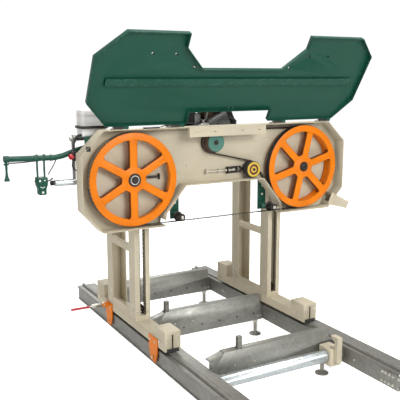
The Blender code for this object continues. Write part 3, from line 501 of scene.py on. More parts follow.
def onto(shape, axis, along, centre=(0, 0)):
    """Stands a flat plate across the axis, its own x and y on the other two in x, y, z order."""
    for v in shape.verts:
        v.co = placed(axis, along + v.co.z, centre[0] + v.co.x, centre[1] + v.co.y)
    return shape


def refined(node, finish, width):
    """The CAD node again with its sharp edges rounded over, standing for it."""
    source = frame["nodes"][node]
    shape = bmesh.new()
    shape.from_mesh(source.data)
    bmesh.ops.remove_doubles(shape, verts=shape.verts, dist=0.00003)
    bmesh.ops.dissolve_limit(
        shape, angle_limit=math.radians(1.0), verts=shape.verts, edges=shape.edges,
        use_dissolve_boundaries=False,
    )
    data = bpy.data.meshes.new(node + "_fine")
    shape.to_mesh(data)
    shape.free()
    made = bpy.data.objects.new(node + "_fine", data)
    bpy.context.scene.collection.objects.link(made)
    data.materials.append(FINISHES[finish])
    bevel = made.modifiers.new("edges", "BEVEL")
    bevel.width = width
    bevel.segments = 2
    bevel.limit_method = "ANGLE"
    bevel.angle_limit = math.radians(35)
    bevel.use_clamp_overlap = True
    bevel.harden_normals = True
    bpy.context.view_layer.update()
    final = bpy.data.meshes.new_from_object(made.evaluated_get(bpy.context.evaluated_depsgraph_get()))
    made.modifiers.clear()
    made.data = final
    bpy.data.meshes.remove(data)
    final.shade_smooth()
    final.set_sharp_from_angle(angle=math.radians(32))
    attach(made, BODY_OF[node])
    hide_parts(node)


def dress(node, finish):
    """The CAD node itself, with a worked material."""
    data = frame["nodes"][node].data
    data.materials.clear()
    data.materials.append(FINISHES[finish])
    data.shade_smooth()
    data.set_sharp_from_angle(angle=math.radians(32))


def tangent_turns(first, second):
    apart = Vector((second[0] - first[0], second[1] - first[1]))
    offset = first[2] * first[3] - second[2] * second[3]
    run = math.atan2(apart.y, apart.x) + math.asin(offset / apart.length)
    return run - first[3] * math.pi / 2, run - second[3] * math.pi / 2


def belt_line(pulleys, step):
    """A belt's line round (a, b, radius, side) pulleys, as closely spaced points."""
    points = []
    for i, pulley in enumerate(pulleys):
        start = tangent_turns(pulleys[i - 1], pulley)[1]
        end = tangent_turns(pulley, pulleys[(i + 1) % len(pulleys)])[0]
        sweep = (end - start) * pulley[3] % math.tau
        pieces = max(1, round(sweep / step))
        for j in range(pieces + 1):
            turn = start + pulley[3] * sweep * j / pieces
            points.append((pulley[0] + pulley[2] * math.cos(turn), pulley[1] + pulley[2] * math.sin(turn)))
    return points


def resampled(line, count):
    """Evenly spaced (point, direction) pairs round a closed line of (a, b) points."""
    points = [Vector(p) for p in line]
    lengths = [(points[(i + 1) % len(points)] - p).length for i, p in enumerate(points)]
    pitch = sum(lengths) / count
    found = []
    i = 0
    passed = 0
    for k in range(count):
        wanted = k * pitch
        while passed + lengths[i] < wanted and i < len(points) - 1:
            passed += lengths[i]
            i += 1
        along = points[(i + 1) % len(points)] - points[i]
        part = (wanted - passed) / lengths[i] if lengths[i] else 0
        found.append((points[i] + along * part, along.normalized()))
    return found


# CAD pieces shown with their edges rounded over

FINE = {
    "blade_cover": ("green", 0.0012), "head_pan": ("beige", 0.0012), "head_frame": ("beige", 0.0016),
    "left_base": ("beige", 0.0015), "right_base": ("beige", 0.0015),
    "left_front_post": ("beige", 0.0016), "right_front_post": ("beige", 0.0016),
    "left_rear_post": ("beige", 0.0016), "right_rear_post": ("beige", 0.0016),
    "mast_cross_beam": ("beige", 0.002), "clamp_block": ("beige", 0.002),
    "left_guide_arm": ("green", 0.0016), "right_guide_arm": ("green", 0.0016),
    "front_rail_hook": ("orange", 0.0014), "rear_rail_hook": ("orange", 0.0014),
    "front_bunk": ("bunk", 0.0012), "middle_bunk": ("bunk", 0.0012), "rear_bunk": ("bunk", 0.0012),
    "log_rest_front": ("galvanised", 0.002), "log_rest_middle": ("galvanised", 0.002),
    "left_splice_plate": ("bunk", 0.001), "right_splice_plate": ("bunk", 0.001),
    "tension_block": ("dark_steel", 0.0014), "guide_bar": ("galvanised", 0.0012),
    "clamp_dog": ("beige", 0.0014), "operator_handle": ("green", 0.0008),
    "clamp_tube": ("tube", 0.0008), "lift_shaft": ("dark_steel", 0.0008),
    "belt_idler_slide": ("dark_steel", 0.0007),
}


def make_fine_pieces():
    for node, (finish, width) in FINE.items():
        refined(node, finish, width)


# Wheels, blade and belt


def window(angle, inner=66, outer=205.5, spoke=40, corner=20):
    """The rounded opening between two spokes, centred on the angle."""
    def at(radius, side, lift=0):
        turn = math.pi / 6 - math.asin(spoke / 2 / radius) - lift / radius
        return Vector((radius * math.cos(angle + side * turn), radius * math.sin(angle + side * turn)))

    def bend(first, middle, last):
        return [
            tuple(first * (1 - t) ** 2 + middle * 2 * t * (1 - t) + last * t * t)
            for t in (0, 0.25, 0.5, 0.75, 1)
        ]

    small = corner * 0.45
    points = []
    points += bend(at(outer - corner, -1), at(outer, -1), at(outer, -1, corner))
    reach = math.pi / 6 - math.asin(spoke / 2 / outer) - corner / outer
    for t in (-0.6, -0.2, 0.2, 0.6):
        points.append((outer * math.cos(angle + reach * t), outer * math.sin(angle + reach * t)))
    points += bend(at(outer, 1, corner), at(outer, 1), at(outer - corner, 1))
    points += bend(at(inner + small, 1), at(inner, 1), at(inner, 1, small))
    points += bend(at(inner, -1, small), at(inner, -1), at(inner + small, -1))
    return points


def make_wheel(kind, x, turn, sheave):
    """A band wheel: a spoked casting, its tyre and its hub, and the belt's sheave on the driven one."""
    name = body = kind + "_wheel"
    about = (x, 0, 0)
    wheel = Piece(name + "_casting", body, "orange")
    windows = [window(math.radians(60 * i)) for i in range(6)]
    disc = onto(plate_mesh(circle(208, count=96), windows, 30, 3), "y", -1.5, (x, 0))
    wheel.add(disc, turn=spin(turn), about=about)
    wheel.turned([
        (203.5, -16.5), (205, -18.8), (238, -18.8), (239.8, -17.8), (239.8, -16.6), (231.5, -16),
        (231.5, 16.5), (226, 18.5), (208, 18.5), (203.5, 12),
    ], "y", (x, 0), 96)
    wheel.turned([
        (20.5, -24), (30, -24.5), (32.5, -22.5), (40, -19.5), (60, -15), (66.5, -9.5), (66.5, 9.5), (50, 19),
        (20.5, 20),
    ], "y", (x, 0), 48)
    for i in range(6):
        rib = [(60, -9.5), (60, -17), (85, -14), (175, -13), (204.5, -16.5), (204.5, -9.5)]
        wheel.prism(
            [(x + r, y) for r, y in rib], "z", -3.5, 3.5, 1.6, turn=spin(turn - 30 - 60 * i), about=about,
        )
    wheel.done(replaces=(name,))
    # The window walls get a dark brown enamel that paints the shade inside the spoke openings.
    painted_window_shade = Piece(name + "_windows", body, "orange", "orange_shade")
    for i, outside in enumerate(windows):
        inside = window(math.radians(60 * i), 67, 204.5, 42)
        painted_window_shade.add(
            onto(plate_mesh(outside, [inside], 26.2, 0.3), "y", -1, (x, 0)), turn=spin(turn), about=about,
        )
    painted_window_shade.done()
    tyre = Piece(kind + "_tyre_moulding", body, "rubber")
    tyre.turned([
        (231.8, -15.8), (238.5, -15.8), (240.2, -15), (241, -6), (239.2, -3), (239.2, 3), (241, 6),
        (240.2, 16.5), (238.5, 18.5), (231.8, 18),
    ], "y", (x, 0), 120)
    tyre.done(replaces=(kind + "_tyre",))
    hub = Piece(name + "_hub_fittings", body, "dark_steel")
    if sheave:
        hub.turned([(0, -33), (16, -33), (19, -31.5), (20, -28.5), (20, -20), (0, -20)], "y", (x, 0), 32)
        hub.turned([(19.5, -25.5), (27.5, -26.2), (29, -24.5), (29, -21.5), (19.5, -21)], "y", (x, 0), 36)
        hub.hexagon(19, "y", -40, -33, (x, 0), 0.2)
        hub.rod(19.8, "y", 20, 124.5, (x, 0), 28)
        hub.block((x - 3, 80, 17.5), (x + 3, 120, 22.2), 0.8)
    else:
        hub.turned([(0, -26.2), (32.5, -26.2), (34.5, -24.5), (34.5, -19), (0, -19)], "y", (x, 0), 40)
        hub.turned([(0, -30.5), (12.5, -30.5), (13, -24), (0, -24)], "y", (x, 0), 24)
        hub.hexagon(26, "y", -37.5, -26.2, (x, 0), 0.35)
    hub.done()
    ring = Piece(name + "_hub_ring", body, "galvanised", "dark_steel" if sheave else "zinc")
    ring.turned([(16.5, -28.5), (23.5, -28.5), (24.2, -27.2), (24.2, -24.2), (16.5, -24.2)], "y", (x, 0), 40)
    ring.done()
    if sheave:
        groove = Piece("drive_sheave", body, "orange")
        groove.turned([
            (200, 18.6), (224, 18.6), (225, 20), (217.5, 23.5), (217.5, 32.5), (225, 35.8), (224, 37.2),
            (200, 37.2),
        ], "y", (x, 0), 96)
        groove.done()


def make_blade():
    """The band, with a tooth every 22 mm along its front edge."""
    line = belt_line([(WHEEL_X, 0, WHEEL_R, 1), (-WHEEL_X, 0, WHEEL_R, 1)], math.radians(2.0))
    teeth = 166
    marks = resampled(line, teeth * 4)
    front = (-16, -17.2, -12.8, -11.8)
    shape = bmesh.new()
    rings = []
    for k, (point, along) in enumerate(marks):
        out = Vector((along.y, -along.x))
        set_over = (0, 0.45, 0, -0.45)[(k // 4) % 4] if k % 4 < 2 else 0
        low = point + out * set_over
        high = point + out * (1.2 + set_over)
        mid_low = point
        mid_high = point + out * 1.2
        tip = front[k % 4]
        rings.append(
            [
                shape.verts.new((low.x, tip, low.y)), shape.verts.new((mid_low.x, -10.5, mid_low.y)),
                shape.verts.new((mid_low.x, 16, mid_low.y)), shape.verts.new((mid_high.x, 16, mid_high.y)),
                shape.verts.new((mid_high.x, -10.5, mid_high.y)), shape.verts.new((high.x, tip, high.y)),
            ],
        )
    skin(shape, rings)
    blade = Piece("toothed_saw_blade", "head", "blade_steel", "blade")
    blade.add(shape)
    blade.done(replaces=("saw_blade",), smooth=40)


def make_belt():
    """The V belt: tapered flanks, cog notches on its inner side and a cloth-covered back."""
    clear = 0.6
    pulleys = [(WHEEL_X, 0, 222 + clear, 1), (*PULLEY, 55 + clear, 1), (*IDLER, 48 + clear, -1)]
    line = belt_line(pulleys, math.radians(4))
    marks = resampled(line, 900)
    shape = bmesh.new()
    rings = []
    for k, (point, along) in enumerate(marks):
        out = Vector((along.y, -along.x))
        notch = 1.8 if k % 6 < 2 else 0
        ring = []
        for side, y in ((notch, 24.5), (6, 19), (8.2, 19), (8.2, 37), (6, 37), (notch, 31.5)):
            at = point + out * side
            ring.append(shape.verts.new((at.x, y, at.y)))
        rings.append(ring)
    skin(shape, rings)
    belt = Piece("cogged_drive_belt", "head", "rubber", "belt")
    belt.add(shape)
    belt.done(replaces=("drive_belt",), smooth=40)


def make_pulley_and_idler():
    x, z = PULLEY
    pulley = Piece("clutch_pulley", "engine_pulley", "green", "green_disc")
    pulley.turned([
        (0, -19.5), (13, -19.5), (14.5, -21), (21, -21.5), (22.5, -20), (38, -21.5), (44, -24), (47.8, -24),
        (49.2, -22.2), (49.2, -12.5), (0, -12.5),
    ], "y", (x, z), 64)
    for i in range(3):
        pulley.block(
            (x + 28, -22.5, z - 4.5), (x + 39.5, -20, z + 4.5), 1.2, turn=spin(120 * i + 40), about=(x, 0, z),
        )
    pulley.done(replaces=("engine_pulley",))
    drum = Piece("clutch_drum", "engine_pulley", "green", "drum")
    drum.turned([
        (0, -14), (51.5, -14), (53, -12.5), (53, 16.5), (62, 18.2), (62, 20), (55.2, 22.2), (55.2, 34),
        (62, 36.2), (62, 38), (14, 38), (14, 118), (0, 118),
    ], "y", (x, z), 64)
    drum.done()
    bits = Piece("clutch_pulley_bolt", "engine_pulley", "dark_steel")
    bits.turned([(0, -22.8), (12.5, -22.8), (13.5, -21.8), (13.5, -20), (0, -20)], "y", (x, z), 28)
    bits.bolt((x, -22.5, z), "y", 7.5, -1)
    bits.done()
    x, z = IDLER
    idler = Piece("idler_pulley", "belt_idler", "yellow", "rubber")
    idler.turned([
        (8.5, -19.5), (43, -19.5), (45.2, -18.5), (46, -17), (46, 16), (44, 18), (40, 19.5), (40, 36),
        (8.5, 36),
    ], "y", (x, z), 56)
    idler.done(replaces=("belt_idler",))
    face = Piece("idler_pulley_flanges", "belt_idler", "yellow")
    face.turned([(8.5, -19), (8.5, -22.8), (16, -22.8), (17.6, -21.6), (17.6, -19)], "y", (x, z), 32)
    face.turned([
        (30.2, -19), (30.2, -21), (31.4, -22.2), (40.8, -22.2), (42, -21.2), (42, -19),
    ], "y", (x, z), 48)
    face.done()
    rings = Piece("idler_pulley_seals", "belt_idler", "dark_steel", "brown")
    rings.turned([
        (17.4, -19.2), (18, -20.2), (22.5, -21.2), (29, -20.8), (30.4, -20), (30.4, -19.2),
    ], "y", (x, z), 40)
    rings.done()
    pin = Piece("idler_pin", "belt_idler_slide", "dark_steel")
    pin.bolt((x, -22.5, z), "y", 7, -1)
    pin.done()


def make_adjuster():
    """The slotted bracket and the long screw that hold the idler, in the pan and behind it."""
    x, z = IDLER
    holes = [rounded(rect(x - 135, z - 5, x - 85, z + 5), 5)]
    holes.append(circle(4.5, (x - 66, z + 9), 14))
    holes.append(circle(4.5, (x - 66, z - 9), 14))
    outline = rounded(rect(x - 148, z - 19, x - 50, z + 19), 6)
    bracket = Piece("idler_bracket", "head", "dark_steel")
    bracket.add(onto(plate_mesh(outline, holes, 4.5), "y", 37.5))
    bracket.block((x - 148, 18, z - 19), (x - 144, 38.5, z + 19), 1.2)
    bracket.done()
    screw = Piece("idler_screw", "head", "galvanised", "zinc")
    screw.rod(4.5, "x", x - 275, x - 110, (28, z), 16)
    for k in range(26):
        start = x - 262 + k * 4.2
        screw.turned([
            (4.3, start), (5.2, start + 1), (5.2, start + 1.6), (4.3, start + 2.6),
        ], "x", (28, z), 16)
    for start in (x - 158, x - 136, x - 206):
        screw.hexagon(15, "x", start, start + 7, (28, z), 0.3)
        screw.turned(rect(5, start - 1.6, 10.5, start), "x", (28, z), 20)
    screw.block((x - 281, 16, z - 14), (x - 277, 40.2, z + 14), 1)
    screw.bolt((x - 98, 35.2, z), "y", 7, -1)
    screw.bolt((x - 66, 35.2, z), "y", 6, -1)
    screw.done()


# Saw head


def make_head_details():
    body = "head"
    hem = Piece("pan_rim_hem", body, "beige")
    half = [
        (698, 256.5), (817, 141.5), (817, -139.5), (714.2, -254.5), (371.5, -254.5), (363.5, -189.3),
        (249, -48.5),
    ]
    ring = half[::-1] + [(-a, b) for a, b in half]
    lower = [Vector((a, -37.5, b)) for a, b in ring]
    hem.pipe(lower, 2.2, 8)
    hem.done()
    beam = Piece("front_beam_panel", body, "beige")
    holes = []
    for x in (-195, -85, 85, 195):
        holes.append(rounded(rect(x - 7, 230, x + 7, 233.6), 1.8))
    outline = rounded(rect(-238, 206, 238, 258), 2, 2)
    beam.add(onto(plate_mesh(outline, holes, 3, 0.8), "y", -60.5))
    beam.block((-238, -60, 206.2), (238, -38, 209.2), 0.9)
    beam.block((-238, -60, 254.8), (238, -38, 257.8), 0.9)
    for x in (-237.5, 233.5):
        beam.block((x, -60, 208.5), (x + 4, -38, 255.5), 0.9)
    beam.done(replaces=("front_beam",))
    fixings = Piece("pan_fixings", body, "galvanised", "zinc")
    fixings.bolt((-201.3, 40.5, 49), "y", 6.5, -1)
    fixings.bolt((-610, 40.5, 0), "y", 5, -1)
    for x in HINGES_X:
        for dx in (-17, 17):
            fixings.bolt((x + dx, -24.5, 261.2), "z", 3.8, 1)
    fixings.done()
    blocks = Piece("hinge_blocks", body, "dark_steel", "engine_black")
    for x in HINGES_X:
        blocks.turned([
            (7.8, x - 26.5), (8.8, x - 25.5), (8.8, x + 25.5), (7.8, x + 26.5), (0, x + 26.5), (0, x - 26.5),
        ], "x", (-45, 268.5), 20)
        blocks.block((x - 26.5, -38, 260), (x + 26.5, -10, 264.5), 1.4)
    blocks.block((-480, -36, 258.4), (-395, -12, 265.5), 1.4)
    blocks.block((-792, -39.5, 159), (-770, -30, 184), 1.4)
    blocks.done()
    guard = Piece("chute_flange", body, "beige")
    guard.pipe([(882, -30, -234), (882, 38, -234), (863, 38, -276), (863, -30, -276), (882, -30, -234)], 2, 8)
    guard.done()


def make_tensioner():
    x = -WHEEL_X
    plates = Piece("tension_ways", "head", "dark_steel")
    for z in (43, -53):
        plates.block((x - 85, 46.8, z), (x + 85, 69, z + 10), 1.5)
        for dx in (-70, 0, 70):
            plates.bolt((x + dx, 69, z + 5), "y", 5, 1)
    plates.done()
    clips = Piece("axle_bolt", "tension_slide", "galvanised", "zinc")
    clips.bolt((x, 74, 0), "y", 12, 1, stud=10)
    clips.bolt((x - 33, 45.5, 0), "y", 6.2, -1)
    clips.done()
    rod = Piece("track_adjuster", "head", "dark_steel")
    rod.rod(4.5, "x", -462, -374, (30, 2), 16)
    for start in (-452, -436, -399):
        rod.hexagon(12, "x", start, start + 6, (30, 2), 0.2)
    rod.turned([(4.3, -427.5), (6.6, -426.5), (6.6, -404.5), (4.3, -403.5)], "x", (30, 2), 20)
    rod.block((-377.5, 18, -14), (-373.5, 40.5, 18), 1)
    rod.done()
    grip = Piece("tension_screw", "tension_handle", "galvanised", "tube")
    start = x - 50.5
    grip.rod(7.2, "x", start, -775, (60, 0), 20)
    for k in range(46):
        at = -775 + k * 4
        grip.turned([(7, at), (8.2, at + 0.9), (8.2, at + 1.4), (7, at + 2.6)], "x", (60, 0), 18)
    grip.turned([
        (0, -780), (11, -780), (13, -782.5), (13, -790), (11.8, -791.5), (11.8, -813), (13, -815),
        (13, -919.5), (11.2, -924), (0, -925),
    ], "x", (60, 0), 30)
    grip.hexagon(20, "x", -608, -596, (60, 0), 0.1)
    grip.done(replaces=("tension_handle",))
    stand = Piece("tension_spring", "head", "dark_steel")
    coil = [(-695 - k * 0.46, a, b) for k, (a, b) in enumerate(arc(11.5, (60, 0), 0, 20, 150))]
    stand.pipe(coil, 1.8, 8)
    stand.done()
    clasp = Piece("tension_anchor", "head", "beige")
    clasp.block((-690.5, 46.2, -20), (-684.5, 53, 20), 1.4)
    clasp.turned([(8.8, -690.5), (17, -690.5), (18.5, -689), (18.5, -684.5), (8.8, -684.5)], "x", (60, 0), 28)
    clasp.done()


def make_guides():
    for side, arm_x, roller_x, roller_body in (
        ("left", -300, -270, "left_guide_roller"), ("right", 265, 323, "right_guide_roller"),
    ):
        body = BODY_OF[side + "_guide_arm"]
        z = -WHEEL_R + 21.6
        roller = Piece(side + "_guide_roller_body", roller_body, "dark_steel")
        roller.turned([
            (7.5, -31), (11.5, -32), (19, -32), (20.8, -30), (20.8, 16), (22.2, 16.8), (25.8, 17.2),
            (26.2, 18.2), (25.2, 19), (7.5, 19),
        ], "y", (roller_x, z), 44)
        roller.done(replaces=(side + "_guide_roller",))
        hub = Piece(side + "_guide_roller_bolt", body, "galvanised", "zinc")
        hub.bolt((roller_x, -34.5, z), "y", 8.5, -1)
        for bolt_z in (-100, -150):
            hub.bolt((arm_x + 25, 44.5, bolt_z), "y", 6, -1)
        hub.bolt((arm_x + 25, 75, -37), "y", 6, 1)
        hub.bolt((roller_x, 57, z), "y", 8, 1)
        hub.done()
        gusset = Piece(side + "_guide_gusset", body, "green")
        gusset.prism([
            (arm_x + 4, -60), (arm_x + 46, -60), (arm_x + 34, -120), (arm_x + 16, -120),
        ], "y", 56, 60, 1)
        gusset.block((arm_x + 4, 40.5, -236.5), (arm_x + 46, 46.5, -198), 3)
        gusset.done()


def make_cover_details():
    """Hems, collars and fixings of the cover, drawn shut about the hinge and swung up with it."""
    hold = Matrix.Translation(HINGE) @ Matrix.Rotation(math.radians(-COVER_OPEN), 4, "X")
    ring = [
        (252, -12), (700, -12), (806, -134), (812, -410), (704, -515), (355, -515), (355, -441), (237, -324),
        (-237, -324), (-355, -441), (-355, -515), (-670, -515), (-812, -384), (-812, -140), (-700, -12),
        (-252, -12),
    ]
    hem = Piece("cover_rim_hem", "blade_cover", "green")
    hem.pipe([(a * 0.9985, 2, b) for a, b in ring], 1.8, 8)
    for b in (-228.5, -267.5):
        hem.pipe([(-734.5, -8.5, b), (734.5, -8.5, b)], 1.6, 8)
    for x, v in ((520, 397), (395, 396)):
        for side in (-x, x):
            hem.turned([(7.4, -33), (9.2, -33), (9.6, -20.5), (7.4, -20.5)], "y", (side, -v), 24)
    bmesh.ops.transform(hem.mesh, matrix=hold, verts=hem.mesh.verts)
    hem.done()
    washers = Piece("cover_washers", "blade_cover", "dark_steel")
    bits = Piece("cover_fixings", "blade_cover", "galvanised", "zinc")
    for x in (-283, 283):
        washers.turned([(0, -22.6), (10.4, -22.6), (11, -21.8), (11, -21.2), (0, -21.2)], "y", (x, -331), 24)
        bits.turned([(0, -21.4), (4.2, -21.4), (4.2, -16), (3.4, -15), (0, -15)], "y", (x, -331), 16)
    for x in (-11.5, 16.4):
        bits.block((x - 2.6, -18.2, -90), (x + 2.6, -17, -87.2), 0.4)
    for piece in (washers, bits):
        bmesh.ops.transform(piece.mesh, matrix=hold, verts=piece.mesh.verts)
        piece.done()


# Engine and controls


def make_engine():
    body = "head"
    slot = "engine_black"
    x, z = PULLEY
    case = Piece("engine_crankcase", body, slot, "engine_black")
    case.block((x - 108, 128, 90), (x + 98, 315, z + 73), 7, segments=3)
    case.block((x - 118, 135, 70.5), (x + 112, 305, 93), 3.5)
    cover = rounded(rect(x - 95, 92, x + 88, z + 62), 30, 6)
    case.add(onto(plate_mesh(cover, [circle(16.5, (x, z), 24)], 10, 2), "y", 124))
    for i in range(8):
        case.block((x + 24, 116, z - 1.8), (x + 66, 120, z + 1.8), 1, turn=spin(45 * i + 22), about=(x, 0, z))
    case.turned([(16.5, 115), (24, 115), (26, 118), (26, 120), (16.5, 120)], "y", (x, z), 40)
    for k in range(5):
        side = z - 50 + k * 21
        case.block((x - 111, 145, side), (x - 107, 300, side + 4), 1.2)
    case.done(replaces=("engine",))
    bolts = Piece("engine_bolts", body, "galvanised", "zinc")
    for dx, dz in ((-86, -67), (79, -67), (-86, 53), (79, 53), (-90, -8), (83, -8)):
        bolts.bolt((x + dx, 119, z + dz), "y", 5.2, -1)
    for dx in (-104, 98):
        for y in (148, 290):
            for at, way in ((93, 1), (59.8, -1)):
                bolts.bolt((x + dx, y, at), "z", 6.2, way)
    bolts.done()
    lean = spin(-25)
    about = (x, 0, z)
    fins = Piece("engine_cylinder_fins", body, "galvanised", "alloy")
    fins.block((x + 80, 166, z - 42), (x + 215, 284, z + 62), 4, turn=lean, about=about)
    for k in range(15):
        start = x + 96 + k * 8.2
        fins.prism(
            rounded(rect(152, z - 53, 298, z + 73), 14, 4), "x", start, start + 2.4, 0.7, turn=lean,
            about=about,
        )
    fins.done()
    head = Piece("engine_rocker_cover", body, slot, "engine_black")
    head.block((x + 219, 160, z - 48), (x + 257, 290, z + 68), 10, segments=3, turn=lean, about=about)
    head.done()
    plug = Piece("engine_spark_plug", body, slot, "black_plastic")
    tip = Vector((x, 0, z)) + lean @ Vector((236, 0, 0))
    plug.rod(8.5, "y", 130, 160, (tip.x, tip.z), 20)
    plug.pipe([
        (tip.x, 136, tip.z), (tip.x - 10, 122, tip.z + 12), (tip.x - 50, 112, tip.z + 24),
        (tip.x - 110, 110, tip.z + 10), (x + 52, 114, z + 56), (x + 20, 125, z + 78),
    ], 3.6, 10)
    plug.done()
    shroud = Piece("engine_recoil_shroud", body, slot, "engine_black")
    c = (x, z + 30)
    shroud.turned([
        (0, 300), (123, 300), (125, 304), (125, 354), (120, 360), (90, 364), (72, 380), (64, 385), (40, 385),
        (37, 381), (0, 381),
    ], "y", c, 64)
    for i in range(28):
        shroud.block(
            (c[0] + 80, 360, c[1] - 2.2), (c[0] + 116, 365.2, c[1] + 2.2), 1.2, turn=spin(i * 360 / 28),
            about=(c[0], 0, c[1]),
        )
    shroud.block((c[0] - 128, 308, c[1] - 128), (c[0] + 60, 340, c[1] - 60), 6)
    shroud.done()
    pull = Piece("recoil_grip", body, slot, "black_plastic")
    pull.rod(8, "x", c[0] - 35, c[0] + 35, (372, c[1] + 108), 20, 3)
    for end in (-32, 22):
        pull.rod(10.5, "x", c[0] + end, c[0] + end + 10, (372, c[1] + 108), 20, 3)
    pull.pipe([(c[0], 372, c[1] + 108), (c[0], 366, c[1] + 85), (c[0], 360, c[1] + 70)], 2.4, 8)
    pull.done()
    tank = Piece("engine_fuel_tank", body, slot, "engine_black")
    outline = rounded(rect(x - 150, 170, x + 170, 335), 40, 8)
    tank.prism(outline, "z", 335, 423, 18, segments=4)
    tank.prism(
        [(a + (3.5 if a > x else -3.5), b + (3.5 if b > 250 else -3.5)) for a, b in outline], "z", 374.5,
        378.5, 1.2,
    )
    tank.done(replaces=("engine_tank",))
    cap = Piece("engine_fuel_cap", body, slot, "black_plastic")
    cap.turned([
        (0, 420), (30, 420), (30, 426), (28, 427), (28, 440), (25, 443), (0, 444),
    ], "z", (x - 70, 250), 40)
    for i in range(18):
        cap.block(
            (x - 43, 248.4, 427.5), (x - 40.8, 251.6, 440), 0.6, turn=spin(20 * i, "Z"),
            about=(x - 70, 250, 0),
        )
    cap.done()
    muffler = Piece("engine_muffler", body, "dark_steel", "muffler")
    muffler.block((x + 55, 215, 282), (x + 165, 300, 328), 10, segments=3)
    muffler.pipe([(x + 165, 255, 305), (x + 185, 255, 305), (x + 196, 250, 300)], 10, 14)
    for k in range(6):
        muffler.block((x + 66 + k * 16, 213, 292), (x + 73 + k * 16, 215.5, 318), 0.8)
    muffler.done()
    cleaner = Piece("engine_air_cleaner", body, slot, "black_plastic")
    cleaner.block((x - 135, 175, 252), (x - 20, 290, 330), 12, segments=3)
    for k in range(7):
        cleaner.block((x - 120 + k * 13.5, 172.5, 270), (x - 114 + k * 13.5, 176, 312), 1.2)
    cleaner.done()
    stays = Piece("engine_tank_stays", body, "dark_steel")
    for dx in (-120, 130):
        for y in (185, 300):
            stays.block((x + dx, y, 240), (x + dx + 16, y + 3, 338), 0.8)
        stays.block((x + dx, 185, 332.5), (x + dx + 16, 303, 335), 0.8)
    stays.done()
    carb = Piece("engine_carburettor", body, "galvanised", "alloy")
    carb.block((x - 18, 205, 262), (x + 30, 260, 312), 5)
    carb.rod(19, "z", 238, 264, (x + 6, 232), 32, 3)
    carb.pipe([(x + 6, 215, 245), (x + 20, 190, 250), (x + 52, 178, 290), (x + 60, 178, 336)], 3.6, 10)
    carb.done()
    lever = Piece("engine_throttle_linkage", body, "galvanised", "zinc")
    lever.block((x - 12, 150, z + 78), (x + 40, 153, z + 92), 0.8)
    lever.pipe([(x + 34, 150, z + 86), (x + 20, 172, z + 110), (x + 12, 202, z + 122)], 1.6, 8)
    lever.bolt((x - 2, 150, z + 85), "y", 4.8, -1)
    lever.done()


def make_lubricant_tank():
    tank = Piece("lube_tank_shell", "head", "tank_plastic", "tank")
    outline = rounded(rect(-775, 60, -645, 158), 18, 6)
    tank.prism(outline, "z", 222.2, 356, 10, segments=4)
    tank.turned([(0, 350), (23, 350), (21, 358), (19, 360), (19, 366), (0, 366)], "z", (-685, 109), 36)
    seam = rounded(rect(-776.2, 107.8, -643.8, 110.2), 0.6, 1)
    tank.prism(seam, "z", 233, 345, 0.4)
    for z in (255, 290, 325):
        tank.prism(rounded(rect(-776.2, 58.8, -643.8, 159.2), 18, 6), "z", z, z + 3, 1)
    tank.done(replaces=("lube_tank",))
    cap = Piece("lube_tank_cap", "head", "tank_plastic", "white")
    cap.turned([(0, 364), (23.5, 364), (24, 366), (24, 378), (22, 380.5), (0, 380.5)], "z", (-685, 109), 40)
    for i in range(24):
        cap.block(
            (-661.4, 107.9, 366.5), (-660, 110.1, 377.5), 0.4, turn=spin(15 * i, "Z"), about=(-685, 109, 0),
        )
    cap.done()
    hose = Piece("lube_hose", "head", "rubber", "black_plastic")
    hose.pipe([
        (-764, 80, 232), (-780, 80, 232), (-793, 80, 229), (-804, 80, 220), (-811, 80, 206), (-815, 80, 190),
        (-816, 80, 170), (-817, 80, 150),
    ], 6.2, 16)
    hose.pipe([
        (-818, 83, 110), (-822, 84, 96), (-824, 83, 78), (-818, 80, 62), (-806, 74, 56), (-794, 68, 62),
        (-788, 63, 78), (-786, 58, 100), (-778, 54, 122), (-758, 52, 136), (-735, 52, 142),
    ], 4, 12)
    hose.done()
    valve = Piece("lube_valve_body", "head", "dark_steel")
    valve.rod(10.5, "z", 105, 150, (-816.5, 80), 24, 1.5)
    valve.hexagon(23, "z", 118, 129, (-816.5, 80), 0.1)
    valve.hexagon(20, "z", 141, 149, (-816.5, 80), 0.4)
    valve.done()
    tap = Piece("lube_valve_tap", "lube_valve", "red")
    tap.turned([
        (0, -824.5), (11, -824.5), (14, -827), (14.5, -833), (13, -840), (8, -842.5), (0, -843),
    ], "x", (76, 126), 36)
    wing = rounded([(46, 121), (106, 121), (110, 126), (106, 131), (46, 131), (42, 126)], 4, 3)
    tap.prism(wing, "x", -838, -826.5, 2, segments=3)
    tap.done(replaces=("lube_valve",))
    cage = Piece("lube_tank_strap", "head", "dark_steel")
    cage.block((-778.5, 56.5, 262), (-641.5, 58, 276), 0.4)
    cage.block((-778.5, 58, 262), (-777, 160, 276), 0.4)
    cage.block((-643, 58, 262), (-641.5, 160, 276), 0.4)
    cage.done()


